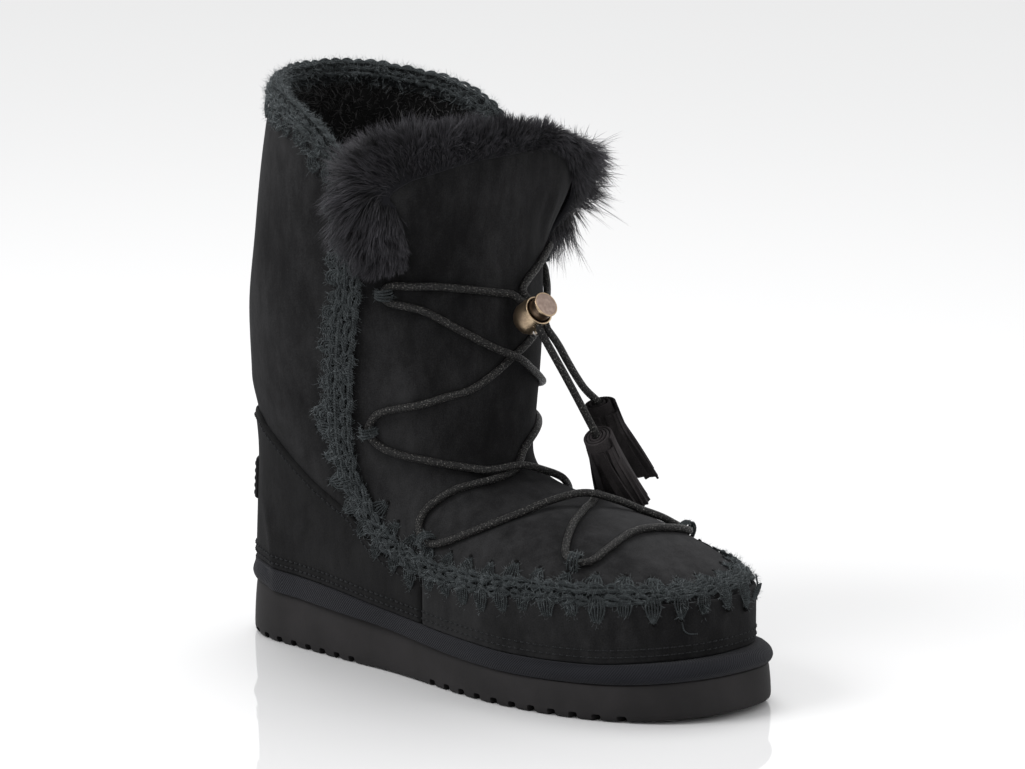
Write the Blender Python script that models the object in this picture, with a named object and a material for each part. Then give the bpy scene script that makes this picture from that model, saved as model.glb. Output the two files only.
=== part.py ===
"""Winter mukluk boot for the right foot, about European size 38, standing empty on its sole.

Lengths in the tables are millimetres. +X points to the toe, +Y to the inner side of the foot and +Z up.
The origin is on the floor under the middle of the heel.
"""
import math

import bmesh
import bpy
import numpy as np
from mathutils import Matrix, Vector

MM = 0.001

# Driving dimensions
SOLE_LENGTH = 278.5
HEEL_BACK = -42.0
HEEL_HALF_WIDTH = 39.3
WAIST_HALF_WIDTH = 43.0
BALL_HALF_WIDTH = 53.0
HEEL_SIDE_X, WAIST_X, BALL_X = -17.0, 58.0, 148.0
HEEL_ROUND, HEEL_SQUARENESS = 42.0, 2.2
SOLE_TOE_ROUND, SOLE_TOE_SQUARENESS = 93.0, 2.45
INSWING_START, INSWING_LENGTH, TOE_INSWING = 108.0, 122.0, 9.0
UPPER_WALL = 3.5
INSOLE_HEIGHT, INSOLE_GAP = 6.0, 1.0
OVERLAY = 1.6
GAP = 0.3
FACET_GAP = 0.9
CUTTER_SIDE, CUTTER_LOW = 90.0, -10.0
LACE_RADIUS = 1.75

# Heights along the side of the sole
SOLE_SIDE = (
    # x, underside, top of the rubber, top of the welt
    (-42, 0.0, 25.5, 35.0),
    (0, 0.0, 24.0, 34.0),
    (40, 0.0, 22.5, 32.3),
    (65, 0.0, 21.2, 29.6),
    (90, 0.0, 19.2, 27.4),
    (120, 0.0, 17.0, 25.6),
    (155, 0.0, 15.7, 24.2),
    (190, 0.0, 15.9, 24.4),
    (213, 0.8, 17.0, 26.2),
    (237, 2.7, 19.5, 28.7),
)
# The rubber's edge from the floor up
RUBBER_EDGE = (
    # part of its height, how far it stands out from the outline
    (0.0, -1.8),
    (0.06, -0.3),
    (0.16, 0.0),
    (1.0, -1.3),
)
# The welt's bead, from its foot up
WELT_EDGE = (
    # part of its height, how far it stands out from the outline
    (0.0, -1.4),
    (0.12, -0.1),
    (0.38, 0.7),
    (0.68, 0.0),
    (0.9, -1.8),
)
WELT_LIP = 1.2
SOLE_INSET = 11.0
GROOVE_WIDTH, GROOVE_DEPTH = 4.0, 3.2
GROOVES = (
    # part of the sole, x of its first groove, number of grooves, pitch
    ("heel", -33.5, 9, 10.0),
    ("forefoot", 102.8, 11, 10.4),
)
SHANK_START, SHANK_END, SHANK_RELIEF = 55.0, 96.0, 0.8

# The shaft: level sections by height
SHAFT = (
    # height, back, front, half width, squareness
    (10, -38.0, 60, 36, 2.7),
    (30, -39.0, 75, 37, 2.7),
    (60, -37.5, 92, 41, 2.55),
    (90, -34.8, 100, 47, 2.35),
    (105, -36.8, 102, 50, 2.25),
    (122, -41.2, 104, 53.0, 2.15),
    (150, -41.3, 105, 57, 2.1),
    (190, -35.8, 104, 58, 2.1),
    (230, -30.4, 107, 57, 2.1),
    (248, -26.8, 107, 55.5, 2.1),
    (266, -22.0, 106, 53.0, 2.1),
)
LEVELS = (10.0, 290.0)
# The front flap leans out above a height, between two turns from the toe and in front of an x
FLAP_FLARE = 13.0
FLARE_RISE = (176.0, 220.0)
FLARE_TURN = (12.0, 48.0)
FLARE_X = (65.3, 68.8)
# The foot: upright sections along the shoe
FOOT = (
    # x, half width, top of the side wall, crest of the vamp
    (10, 30.0, 40, 66.0),
    (40, 37.0, 42, 74.0),
    (75, 43.0, 46, 81.0),
    (110, 48.0, 50, 85.0),
    (140, 50.5, 51, 82.0),
    (170, 51.0, 52, 75.5),
    (195, 51.0, 52, 66.5),
    (215, 51.0, 51, 58.5),
    (227, 51.0, 50, 53.0),
)
UPPER_TOE = 227.0
UPPER_TOE_ROUND = 86.0
TOE_SQUARENESS = 2.35
VAMP_ARCH = 2.1
INSTEP_BLEND = 26.0
FOOT_BACK, FOOT_SCALE, FOOT_NARROW = 5.0, 45.0, 30.0
# The rings that the upper is lofted through, from the sole to the collar
RINGS = (
    # ring, height at the back, front x, front height
    (0, 16.0, 226.0, 16.0),
    (1, 30.0, 227.0, 32.0),
    (2, 46.0, 226.0, 46.0),
    (3, 61.0, 217.0, 57.4),
    (4, 72.0, 205.0, 62.6),
    (5, 82.0, 189.0, 68.9),
    (6, 90.0, 171.0, 75.2),
    (7, 97.0, 151.0, 80.2),
    (8, 104.0, 131.0, 83.6),
    (9, 113.0, 116.0, 87.5),
    (10, 127.0, 107.5, 96.0),
    (11, 147.0, 105.5, 113.0),
    (12, 168.0, 105.0, 137.0),
    (13, 190.0, 105.0, 162.0),
    (14, 212.0, 106.0, 187.0),
    (15, 235.0, 107.0, 213.0),
    (16, 257.0, 107.0, 239.0),
)
LAST_RING = RINGS[-1][0]
# The points inside the upper that its rings are cast from, and the rings over which they change
AXIS_BACK, BACK_START = -40.0, 40.0
NOSE_LOW, NOSE_HIGH, NOSE_RINGS = 45.0, 14.0, (4.0, 7.0)
SHAFT_RINGS, RIM_RINGS = (9.0, 12.0), (11.5, 16.0)
UPPER_RINGS = (0, 1, 2, 2.6, 3.3, 4, 5, 6, 7, 8, 8.7, 9.4, 10, 10.6, 11.3, 12, 13, 14, 15, 16)
UPPER_TURNS = (0, 9, 18, 27, 36, 44, 51, 56, 58.8, 63, 67, 73, 81, 90, 101, 112, 123, 135, 147, 158, 169, 180)
COLLAR = (
    # turn from the toe in degrees, height of the rim on the outer side, on the inner side
    (0, 239.0, 239.0),
    (25, 239.0, 236.5),
    (36, 238.0, 230.5),
    (45, 236.0, 223.0),
    (52, 233.0, 214.0),
    (57, 227.0, 205.0),
    (62, 212.0, 197.0),
    (65.5, 217.0, 217.0),
    (69, 226.0, 226.0),
    (76, 233.0, 233.0),
    (88, 242.0, 242.0),
    (106, 249.5, 249.5),
    (130, 255.0, 255.0),
    (155, 259.0, 259.0),
    (180, 260.0, 260.0),
)
SLIT = (
    # x of its back edge, x of its front edge, height
    (67.0, 70.5, 178.0),
    (58.0, 71.5, 262.0),
)
# Overlays: top edges in side view
COUNTER_TOP = (
    # x, height
    (-42, 104.5),
    (-33, 105.5),
    (-22, 107.0),
    (-13, 106.2),
    (-7, 102.5),
    (2, 97.4),
    (14, 89.4),
    (27, 80.5),
    (38, 74.2),
    (48, 69.0),
    (57, 61.5),
    (72, 54.0),
    (95, 47.0),
)
TOE_WALL_TOP = (
    # x, height
    (95, 47.0),
    (130, 46.5),
    (160, 48.0),
    (230, 49.0),
)
QUARTER_SEAM, QUARTER_GAP = 95.6, 0.8
WELT_CLEAR = 0.6
TAB_LOW, TAB_HIGH, TAB_HALF_TURN = 63.0, 81.5, 50.0
# The crochet seam, from the sides of the shaft down and round the toe
SEAM = (
    # x, height, half width
    (56.6, 211, 4.8),
    (58.0, 203, 4.8),
    (59.2, 190, 5.0),
    (59.2, 174, 5.8),
    (56.0, 156, 6.5),
    (53.5, 138, 6.5),
    (51.0, 122, 6.5),
    (49.5, 107, 6.5),
    (50.0, 93, 6.0),
    (54.0, 79, 5.5),
    (64.0, 66, 5.0),
    (79.0, 58, 4.5),
    (98.0, 53.5, 4.5),
    (130.0, 52.8, 4.5),
    (160.0, 54.3, 4.5),
)
SEAM_AT_TOE, SEAM_TOE_TURN = 55.5, 75.0
TOE_CENTRE = 170.0
SEAM_HEIGHT, SEAM_LIFT, SEAM_STEP = 3.1, 1.15, 12.0
SEAM_SECTION = (
    # part of the half width across, part of the height
    (-1.0, 0.0),
    (0.0, 0.0),
    (1.0, 0.0),
    (0.85, 0.8),
    (0.0, 1.0),
    (-0.85, 0.8),
)
# The crochet braid over the back of the collar
BRAID_TURN = 67.0
BRAID_SECTION = (
    # beyond the rim, out of the suede
    (-9.0, 0.7),
    (-8.4, 1.9),
    (-3.0, 2.8),
    (3.0, 2.3),
    (5.0, -1.75),
    (3.0, -6.0),
    (-2.5, -6.8),
    (-5.5, -6.2),
    (-5.5, -4.3),
    (1.0, -4.3),
    (1.0, 0.7),
)
# The fur along the front flap's edge, up one side, over the top and down the other side
FUR_LEG_X = 71.4
FUR_OUTER_LEG = (183.5, 189.0, 195.0, 202.0, 209.0, 216.0)
FUR_INNER_LEG = (184.0, 190.0, 196.0, 201.0)
FUR_OUTER_RIM = (57.5, 55, 51, 45, 39, 31, 21, 10)
FUR_INNER_RIM = (0, 10, 20, 29, 36, 42, 47, 51, 55)
FUR_STEP = 7.0
FUR_LOCK = 9.0
FUR_WIDTH = 20.0
FUR_ALONG = (
    # part of the way from the outer foot, width on the suede, room beyond the edge, thickness
    (0.0, 12.0, 0.08, 0.5),
    (0.08, 19.0, 0.1, 0.9),
    (0.16, 20.0, 0.3, 1.0),
    (0.26, 18.0, 1.0, 1.0),
    (0.5, 10.0, 1.0, 1.0),
    (0.72, 14.0, 1.0, 1.2),
    (0.84, 19.0, 0.5, 1.7),
    (0.93, 16.0, 0.1, 1.7),
    (1.0, 9.0, 0.08, 0.9),
)
FUR_CHANNEL, FUR_WALL, FUR_END, FUR_LIFT = 1.5, 0.9, 0.35, 1.8
FUR_SECTION = (
    # beyond the edge, out of the suede, part of the lock's length
    (-20.0, 1.8, 0.0),
    (-19.0, 3.4, 0.0),
    (-13.0, 5.5, 0.4),
    (-6.0, 7.0, 0.7),
    (1.0, 7.5, 1.0),
    (6.0, 5.5, 1.0),
    (8.5, 1.5, 1.0),
    (8.0, -3.5, 1.0),
    (4.0, -8.6, 0.4),
    (-3.0, -10.8, 0.15),
    (-8.0, -10.0, 0.0),
    (-9.5, -7.8, 0.0),
    (1.5, -7.8, 0.0),
    (1.5, 1.8, 0.0),
)
# The lace: one cord, from the lock round the seams' loops and back to the lock
LACE = (
    # x, y, height, lift over the suede, held by a loop
    (108.8, -1.8, 171.4, 4.2, 0),
    (106.0, -8.0, 172.6, 3.0, 0),
    (101.5, -23.0, 175.5, 3.0, 0),
    (93.0, -36.0, 177.5, 3.6, 0),
    (85.0, -43.5, 177.5, 3.6, 0),
    (79.0, -48.0, 177.6, 3.4, 0),
    (76.0, -49.3, 176.3, 3.0, 0),
    (74.8, -49.9, 173.4, 3.0, 1),
    (76.0, -49.3, 170.5, 3.0, 0),
    (79.5, -47.5, 169.2, 3.0, 0),
    (89.6, -39.7, 166.4, 3.0, 0),
    (99.3, -27.8, 158.0, 3.0, 0),
    (105.0, -13.0, 149.0, 4.8, 0),
    (107.0, -1.0, 143.0, 7.3, 0),
    (105.0, 13.0, 135.0, 4.0, 0),
    (99.6, 25.7, 128.5, 3.0, 0),
    (88.0, 38.5, 123.5, 3.0, 0),
    (73.0, 46.8, 119.5, 3.0, 0),
    (66.5, 49.0, 117.5, 3.0, 0),
    (64.0, 49.5, 113.8, 3.0, 1),
    (66.5, 49.0, 110.2, 3.0, 0),
    (72.5, 46.6, 108.6, 3.0, 0),
    (86.0, 37.0, 107.0, 3.0, 0),
    (98.0, 24.0, 105.0, 3.0, 0),
    (103.6, 10.4, 99.0, 3.0, 0),
    (109.0, -0.5, 92.8, 2.5, 0),
    (109.4, -14.6, 90.0, 3.2, 0),
    (99.8, -29.6, 86.3, 3.0, 0),
    (91.7, -38.1, 78.8, 3.0, 0),
    (89.2, -41.8, 72.2, 3.0, 0),
    (91.8, -44.6, 67.0, 3.0, 0),
    (96.5, -45.8, 64.6, 3.0, 1),
    (102.0, -46.2, 64.4, 3.0, 0),
    (112.3, -44.8, 68.1, 3.0, 0),
    (125.1, -39.0, 74.6, 3.0, 0),
    (135.2, -26.4, 80.5, 3.0, 0),
    (140.9, -10.1, 83.3, 4.8, 0),
    (147.0, 3.0, 82.5, 7.3, 0),
    (152.3, 17.5, 80.4, 4.8, 0),
    (157.5, 28.0, 76.0, 3.0, 0),
    (161.5, 36.0, 70.0, 3.0, 0),
    (165.0, 40.6, 65.6, 3.0, 0),
    (169.6, 42.0, 63.6, 3.0, 1),
    (174.2, 40.0, 65.2, 3.0, 0),
    (177.5, 34.0, 69.0, 3.0, 0),
    (179.0, 25.0, 72.4, 3.0, 0),
    (178.6, 12.0, 74.8, 3.0, 0),
    (179.0, -1.2, 74.6, 3.0, 0),
    (182.9, -21.1, 70.9, 3.0, 0),
    (183.6, -28.6, 68.4, 3.0, 0),
    (182.0, -33.2, 66.8, 3.0, 0),
    (177.8, -35.6, 66.4, 3.0, 1),
    (173.4, -35.6, 66.9, 3.0, 0),
    (168.9, -32.2, 71.4, 3.0, 0),
    (160.6, -19.1, 78.1, 3.0, 0),
    (154.0, -5.0, 81.4, 3.0, 0),
    (148.5, 6.0, 82.3, 2.5, 0),
    (140.0, 18.0, 80.5, 3.0, 0),
    (128.0, 30.5, 75.0, 3.2, 0),
    (115.0, 41.0, 68.5, 3.0, 0),
    (108.0, 45.0, 65.3, 3.0, 0),
    (103.0, 46.0, 64.3, 3.0, 1),
    (99.0, 45.2, 66.6, 3.0, 0),
    (100.0, 42.5, 71.0, 3.0, 0),
    (106.0, 37.0, 77.0, 3.0, 0),
    (113.0, 25.0, 85.0, 3.6, 0),
    (113.5, 12.0, 89.7, 4.8, 0),
    (111.5, -1.5, 91.3, 7.3, 0),
    (105.5, -15.0, 92.5, 5.0, 0),
    (98.3, -24.3, 95.5, 3.0, 0),
    (88.9, -34.2, 97.8, 3.0, 0),
    (74.8, -43.7, 101.0, 3.0, 0),
    (67.3, -47.3, 104.8, 3.0, 0),
    (63.8, -48.8, 109.8, 3.0, 1),
    (66.2, -49.0, 115.2, 3.0, 0),
    (72.0, -47.6, 119.8, 3.0, 0),
    (86.6, -39.6, 123.7, 3.0, 0),
    (95.0, -31.4, 127.3, 3.0, 0),
    (101.6, -22.4, 130.2, 3.2, 0),
    (105.6, -12.0, 136.3, 3.2, 0),
    (107.0, -1.0, 142.8, 3.0, 0),
    (105.0, 11.0, 148.5, 3.0, 0),
    (101.0, 22.0, 155.5, 3.0, 0),
    (93.0, 35.0, 165.0, 3.0, 0),
    (83.5, 44.5, 172.8, 3.0, 0),
    (78.5, 48.0, 175.5, 3.0, 0),
    (76.0, 49.4, 179.2, 3.0, 1),
    (78.5, 48.0, 183.2, 3.0, 0),
    (84.5, 44.0, 185.6, 3.0, 0),
    (94.0, 34.0, 186.5, 3.0, 0),
    (102.5, 20.5, 181.0, 3.0, 0),
    (106.0, 11.0, 176.5, 3.0, 0),
    (108.8, 5.0, 172.4, 4.4, 0),
)
CORD_STEP = 8.5
LOOP_HALF_WIDTH, LOOP_RISE, LOOP_FOOT, LOOP_RADIUS, LOOP_STEPS = 3.6, 5.2, 1.2, 0.8, 6
# The cord lock: a barrel with a domed back, and a push button in its open front
LOCK_CENTRE = (114.7, 2.2, 161.4)
LOCK_TILT, LOCK_YAW = 35.5, -4.0
LOCK_RADIUS, LOCK_LENGTH = 7.7, 7.0
LOCK_WAIST, LOCK_WAIST_RADIUS, LOCK_MOUTH = 3.0, 7.5, 6.9
BORE_RADIUS, BORE_FLOOR = 6.1, -1.5
BUTTON_NECK_RADIUS, BUTTON_CAP_RADIUS, BUTTON_CAP = 5.3, 5.9, 1.2
BUTTON_PROUD, BUTTON_EDGE = 5.8, 0.2
BUTTON_TRAVEL, BUTTON_CLEAR = 3.0, 0.7
CORD_SPACING, CORD_CLEAR, CORD_EXIT = 4.4, 0.7, 4.5
# The hanging ends, from the lock down, and their tassels
CORD_FRONT = (
    (125.4, 4.0, 148.0),
    (128.6, 9.2, 137.0),
    (131.6, 14.8, 125.3),
    (134.0, 19.6, 115.2),
    (135.6, 23.0, 108.2),
)
CORD_BACK = (
    (122.8, 11.2, 149.4),
    (121.5, 18.9, 140.3),
    (119.9, 26.9, 131.6),
    (118.4, 34.4, 124.6),
    (119.2, 41.6, 118.4),
)
TASSEL_FRONT_FOOT = (128.9, 48.9, 73.4)
TASSEL_BACK_FOOT = (116.2, 64.4, 79.4)
# Half width and half depth of each tassel's head, half width of its foot, turn of its flat side
TASSEL_FRONT = (6.9, 6.9, 12.4, 10.0)
TASSEL_BACK = (7.8, 4.6, 14.0, 30.0)
TASSEL = (
    # part of its length, part of the way from head to foot, depth of the cuts between its strips
    (0.0, -0.12, 0.0),
    (0.04, 0.0, 0.0),
    (0.2, 0.0, 0.0),
    (0.34, 0.12, 0.1),
    (0.6, 0.5, 0.2),
    (1.0, 1.0, 0.32),
)
TASSEL_STRIPS, TASSEL_THIN = 8, 0.75
TASSEL_START, TASSEL_UNEVEN = 1.2, 1.8
# Colours
RUBBER = (0.025, 0.022, 0.023)
WELT = (0.022, 0.023, 0.027)
SUEDE = (0.022, 0.022, 0.023)
LINING = (0.015, 0.015, 0.016)
YARN = (0.032, 0.036, 0.038)
FUR = (0.031, 0.03, 0.036)
LEATHER = (0.018, 0.016, 0.017)
BRASS = (0.32, 0.23, 0.15)


def smooth(t):
    t = np.clip(t, 0.0, 1.0)
    return t * t * (3.0 - 2.0 * t)


def ramp(value, limits):
    """0 below the first limit, 1 above the second and a soft step between."""
    start, end = limits
    return smooth((value - start) / (end - start))


def read(table, key, column):
    """A column of a table at any key, on a curve that never overshoots its rows."""
    keys = np.array([row[0] for row in table], float)
    values = np.array([row[column] for row in table], float)
    slopes = np.diff(values) / np.diff(keys)
    tangent = np.gradient(values, keys)
    for row in range(len(keys)):
        near = slopes[max(row - 1, 0):row + 1]
        turns = np.any(np.sign(near) != np.sign(near[0]))
        limit = 0.0 if turns else 3.0 * np.min(np.abs(near))
        tangent[row] = np.clip(tangent[row], -limit, limit)
    key = np.clip(key, keys[0], keys[-1])
    row = np.clip(np.searchsorted(keys, key, side="right") - 1, 0, len(keys) - 2)
    step = keys[row + 1] - keys[row]
    t = (key - keys[row]) / step
    return ((2 * t**3 - 3 * t**2 + 1) * values[row] + (t**3 - 2 * t**2 + t) * step * tangent[row]
            + (3 * t**2 - 2 * t**3) * values[row + 1] + (t**3 - t**2) * step * tangent[row + 1])


def inswing(x):
    """How far the middle line of the foot lies to the inner side."""
    return TOE_INSWING * np.clip((x - INSWING_START) / INSWING_LENGTH, 0.0, None)**2


def round_end(x, tip, length):
    """Factor that closes a plan outline at the toe."""
    q = np.clip((x - (tip - length)) / length, 0.0, 0.99999)
    return (1.0 - q**TOE_SQUARENESS)**(1.0 / TOE_SQUARENESS)


def upper_field(points):
    """Negative inside the upper's outer form, positive outside, roughly in millimetres."""
    x = points[..., 0]
    y = points[..., 1] - inswing(x)
    z = points[..., 2]
    level = np.clip(z, *LEVELS)
    back, front, half, square = (read(SHAFT, level, column) for column in (1, 2, 3, 4))
    middle = (front + back) / 2
    turn = np.degrees(np.abs(np.arctan2(y, x - middle)))
    flare = ramp(z, FLARE_RISE) * ramp(turn, FLARE_TURN) * ramp(x, FLARE_X)
    length = (front - back) / 2 + FLAP_FLARE * flare
    half = half + FLAP_FLARE * flare
    reach = ((np.abs(x - middle) / length)**square + (np.abs(y) / half)**square)**(1 / square)
    shaft = (reach - 1.0) * np.minimum(length, half)
    width = read(FOOT, x, 1) * round_end(x, UPPER_TOE, UPPER_TOE_ROUND)
    wall, crest = read(FOOT, x, 2), read(FOOT, x, 3)
    rise = np.clip((z - wall) / np.maximum(crest - wall, 1.0), 0.0, None)
    reach = ((np.abs(y) / np.maximum(width, 0.5))**VAMP_ARCH + rise**VAMP_ARCH)**(1 / VAMP_ARCH)
    scale = FOOT_SCALE * np.minimum(width / FOOT_NARROW, 1.0)
    foot = np.maximum(np.maximum((reach - 1.0) * scale, x - UPPER_TOE), FOOT_BACK - x)
    near = np.maximum(INSTEP_BLEND - np.abs(foot - shaft), 0.0) / INSTEP_BLEND
    return np.minimum(foot, shaft) - near * near * INSTEP_BLEND / 4


def cast(start, way, field=upper_field, reach=110.0, step=4.0):
    """First crossing of a field's zero from points inside it."""
    low = np.zeros(start.shape[:-1])
    high = np.full(start.shape[:-1], reach)
    found = np.zeros(start.shape[:-1], bool)
    for far in np.arange(step, reach + step, step):
        hit = (field(start + way * far) > 0) & ~found
        low = np.where(hit, far - step, low)
        high = np.where(hit, far, high)
        found |= hit
    for _ in range(18):
        mid = (low + high) / 2
        out = field(start + way * mid[..., None]) > 0
        high = np.where(out, mid, high)
        low = np.where(out, low, mid)
    return start + way * ((low + high) / 2)[..., None]


def normal_at(points):
    reach = 0.5
    slope = [upper_field(points + reach * axis) - upper_field(points - reach * axis) for axis in np.eye(3)]
    slope = np.stack(slope, -1)
    return slope / np.linalg.norm(slope, axis=-1, keepdims=True)


def settle(points, lift=0.0):
    """Points moved along the slope of the form onto the suede, then lifted off it."""
    points = np.array(points, float)
    reach = 0.5
    for _ in range(8):
        ends = [(upper_field(points + reach * axis), upper_field(points - reach * axis)) for axis in np.eye(3)]
        slope = np.stack([(beyond - before) / (2 * reach) for beyond, before in ends], -1)
        size = np.maximum((slope**2).sum(-1), 0.05)
        points = points - slope * (upper_field(points) / size)[..., None]
    lift = np.broadcast_to(np.asarray(lift, float), points.shape[:-1])
    return points + normal_at(points) * lift[..., None]


def sole_underside(x):
    return read(SOLE_SIDE, x, 1)


def rubber_top(x):
    return read(SOLE_SIDE, x, 2)


def welt_top(x):
    return read(SOLE_SIDE, x, 3)


def sole_field(points):
    """Negative inside the plan outline of the sole, positive outside."""
    x = points[..., 0]
    half = HEEL_HALF_WIDTH + (WAIST_HALF_WIDTH - HEEL_HALF_WIDTH) * ramp(x, (HEEL_SIDE_X, WAIST_X))
    half = half + (BALL_HALF_WIDTH - WAIST_HALF_WIDTH) * ramp(x, (WAIST_X, BALL_X))
    q = np.clip((HEEL_BACK + HEEL_ROUND - x) / HEEL_ROUND, 0.0, 1.0)
    half = half * (1.0 - q**HEEL_SQUARENESS)**(1.0 / HEEL_SQUARENESS)
    tip = HEEL_BACK + SOLE_LENGTH
    q = np.clip((x - tip + SOLE_TOE_ROUND) / SOLE_TOE_ROUND, 0.0, 1.0)
    half = half * (1.0 - q**SOLE_TOE_SQUARENESS)**(1.0 / SOLE_TOE_SQUARENESS)
    outside = np.maximum(HEEL_BACK - x, x - tip)
    return np.maximum(np.abs(points[..., 1] - inswing(x)) - half, outside)


def on_upper(ring, turn, lift=0.0):
    """A point of the upper's outer form, by ring from the sole up and turn from the toe in radians."""
    ring, turn = np.broadcast_arrays(np.asarray(ring, float), np.asarray(turn, float))
    rear, toe_x, toe_z = (read(RINGS, ring, column) for column in (1, 2, 3))
    back = np.stack([np.full_like(rear, AXIS_BACK), rear], -1)
    front = np.stack([toe_x, toe_z], -1)
    way = front - back
    length = np.linalg.norm(way, axis=-1, keepdims=True)
    way = way / length
    shaft = ramp(ring, SHAFT_RINGS)[..., None]
    nose = (NOSE_LOW + (NOSE_HIGH - NOSE_LOW) * ramp(ring, NOSE_RINGS))[..., None]
    inner_back = back + way * ((1 - shaft) * BACK_START + shaft * length / 2)
    inner_front = front - way * ((1 - shaft) * nose + shaft * length / 2)
    start = inner_back + (inner_front - inner_back) * (0.5 + 0.5 * np.cos(turn))[..., None]
    top_back, top_front = RINGS[-1][1], RINGS[-1][3]
    level = (top_back + top_front) / 2 + (top_front - top_back) / 2 * np.cos(turn)
    turned = np.degrees(np.mod(turn + np.pi, 2 * np.pi) - np.pi)
    rim = np.where(turned < 0, read(COLLAR, np.abs(turned), 1), read(COLLAR, np.abs(turned), 2))
    rise = ramp(ring, RIM_RINGS) * (rim - level)
    origin = np.stack([start[..., 0], inswing(start[..., 0]), start[..., 1] + rise], -1)
    ray = np.stack([way[..., 0] * np.cos(turn), np.sin(turn), way[..., 1] * np.cos(turn)], -1)
    points = cast(origin, ray)
    foot = np.clip(1.0 - ring, 0.0, 1.0)
    points[..., 2] += foot * (rubber_top(points[..., 0]) + GAP - points[..., 2])
    return points + normal_at(points) * lift


def round_foot(heel_steps, side_steps, toe_steps):
    """Stations all round the shoe: a point of the middle line by its x, and a direction in degrees."""
    heel = [(0.0, -90.0 - 180.0 * step / heel_steps) for step in range(heel_steps)]
    inner = [(TOE_CENTRE * step / side_steps, 90.0) for step in range(side_steps)]
    toe = [(TOE_CENTRE, 90.0 - 180.0 * step / toe_steps) for step in range(toe_steps)]
    outer = [(TOE_CENTRE * (1.0 - step / side_steps), -90.0) for step in range(side_steps)]
    return np.array(heel + inner + toe + outer)


def round_heel(front, side_steps, heel_steps):
    """Stations from the outer side at one x, round the heel, to the inner side at the same x."""
    side = [front * (1.0 - step / side_steps) for step in range(side_steps)]
    heel = [(0.0, -90.0 - 180.0 * step / heel_steps) for step in range(heel_steps + 1)]
    return np.array([(x, -90.0) for x in side] + heel + [(x, 90.0) for x in reversed(side)])


def round_toe(back, side_steps, toe_steps):
    """Stations from the outer side at one x, round the toe, to the inner side at the same x."""
    side = [back + (TOE_CENTRE - back) * step / side_steps for step in range(side_steps)]
    toe = [(TOE_CENTRE, -90.0 + 180.0 * step / toe_steps) for step in range(toe_steps + 1)]
    return np.array([(x, -90.0) for x in side] + toe + [(x, 90.0) for x in reversed(side)])


def spokes(stations, height):
    """Start points on the middle line and level directions of a row of stations."""
    x = stations[:, 0]
    start = np.stack([x, inswing(x), np.broadcast_to(height, x.shape)], -1)
    turn = np.radians(stations[:, 1])
    return start, np.stack([np.cos(turn), np.sin(turn), np.zeros_like(turn)], -1)


def upper_at(stations, height, lift=0.0):
    points = cast(*spokes(stations, height))
    return points + normal_at(points) * lift


def sole_at(stations, stand_out=0.0):
    start, way = spokes(stations, 0.0)
    return cast(start, way, sole_field) + way * stand_out


def with_height(points, height):
    points = points.copy()
    points[..., 2] = height
    return points


def along(points, spacing):
    """Points at equal steps along a smooth curve through hand-set points."""
    points = np.asarray(points, float)
    padded = np.concatenate([[2 * points[0] - points[1]], points, [2 * points[-1] - points[-2]]])
    fine = []
    for before, start, end, after in zip(padded, padded[1:], padded[2:], padded[3:]):
        t = np.linspace(0.0, 1.0, 12, endpoint=False)[:, None]
        fine.append(0.5 * (2 * start + (end - before) * t + (2 * before - 5 * start + 4 * end - after) * t**2
                           + (3 * start - before - 3 * end + after) * t**3))
    fine = np.concatenate(fine + [points[-1:]])
    length = np.concatenate([[0.0], np.cumsum(np.linalg.norm(np.diff(fine, axis=0), axis=1))])
    steps = max(int(round(length[-1] / spacing)), 2)
    at = np.linspace(0.0, length[-1], steps + 1)
    return np.stack([np.interp(at, length, fine[:, axis]) for axis in range(3)], -1)


def frames(path, normals, reach):
    """Across directions of a path that lies on a surface, evened out over some points before and after."""
    last = len(path) - 1
    at = np.arange(len(path))
    ahead = path[np.minimum(at + reach, last)] - path[np.maximum(at - reach, 0)]
    across = np.cross(normals, ahead)
    return across / np.linalg.norm(across, axis=1, keepdims=True)


# Solids

def material(name, colour, roughness, metallic=0.0):
    made = bpy.data.materials.new(name)
    made.use_nodes = True
    shader = made.node_tree.nodes["Principled BSDF"]
    shader.inputs["Base Color"].default_value = (*colour, 1.0)
    shader.inputs["Roughness"].default_value = roughness
    shader.inputs["Metallic"].default_value = metallic
    return made


def add_object(name, data, looks, parent):
    made = bpy.data.objects.new(name, data)
    made.data.materials.append(material(name, *looks))
    bpy.context.scene.collection.objects.link(made)
    made.parent = parent
    return made


def loft(rows, rows_closed=False, edge_angle=40.0, fan_caps=False):
    """Mesh through rows of points in millimetres; each row is a loop, and open lofts get end caps."""
    rows = np.asarray(rows)
    count, size = rows.shape[:2]
    made = bmesh.new()
    points = [[made.verts.new(point * MM) for point in row] for row in rows]
    for row in range(count if rows_closed else count - 1):
        near, far = points[row], points[(row + 1) % count]
        for here in range(size):
            there = (here + 1) % size
            made.faces.new((near[here], near[there], far[there], far[here]))
    if not rows_closed:
        caps = [made.faces.new(points[0]), made.faces.new(points[-1])]
        if fan_caps:
            bmesh.ops.poke(made, faces=caps)
    return finish(made, edge_angle)


def finish(made, edge_angle=40.0):
    """Mesh data from a bmesh, with touching points joined, faces out and soft shading on round stretches."""
    bmesh.ops.remove_doubles(made, verts=made.verts, dist=1e-6)
    bmesh.ops.dissolve_degenerate(made, edges=made.edges, dist=1e-6)
    bmesh.ops.recalc_face_normals(made, faces=made.faces)
    data = bpy.data.meshes.new("mesh")
    made.to_mesh(data)
    made.free()
    data.shade_smooth()
    data.set_sharp_from_angle(angle=math.radians(edge_angle))
    return data


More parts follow.
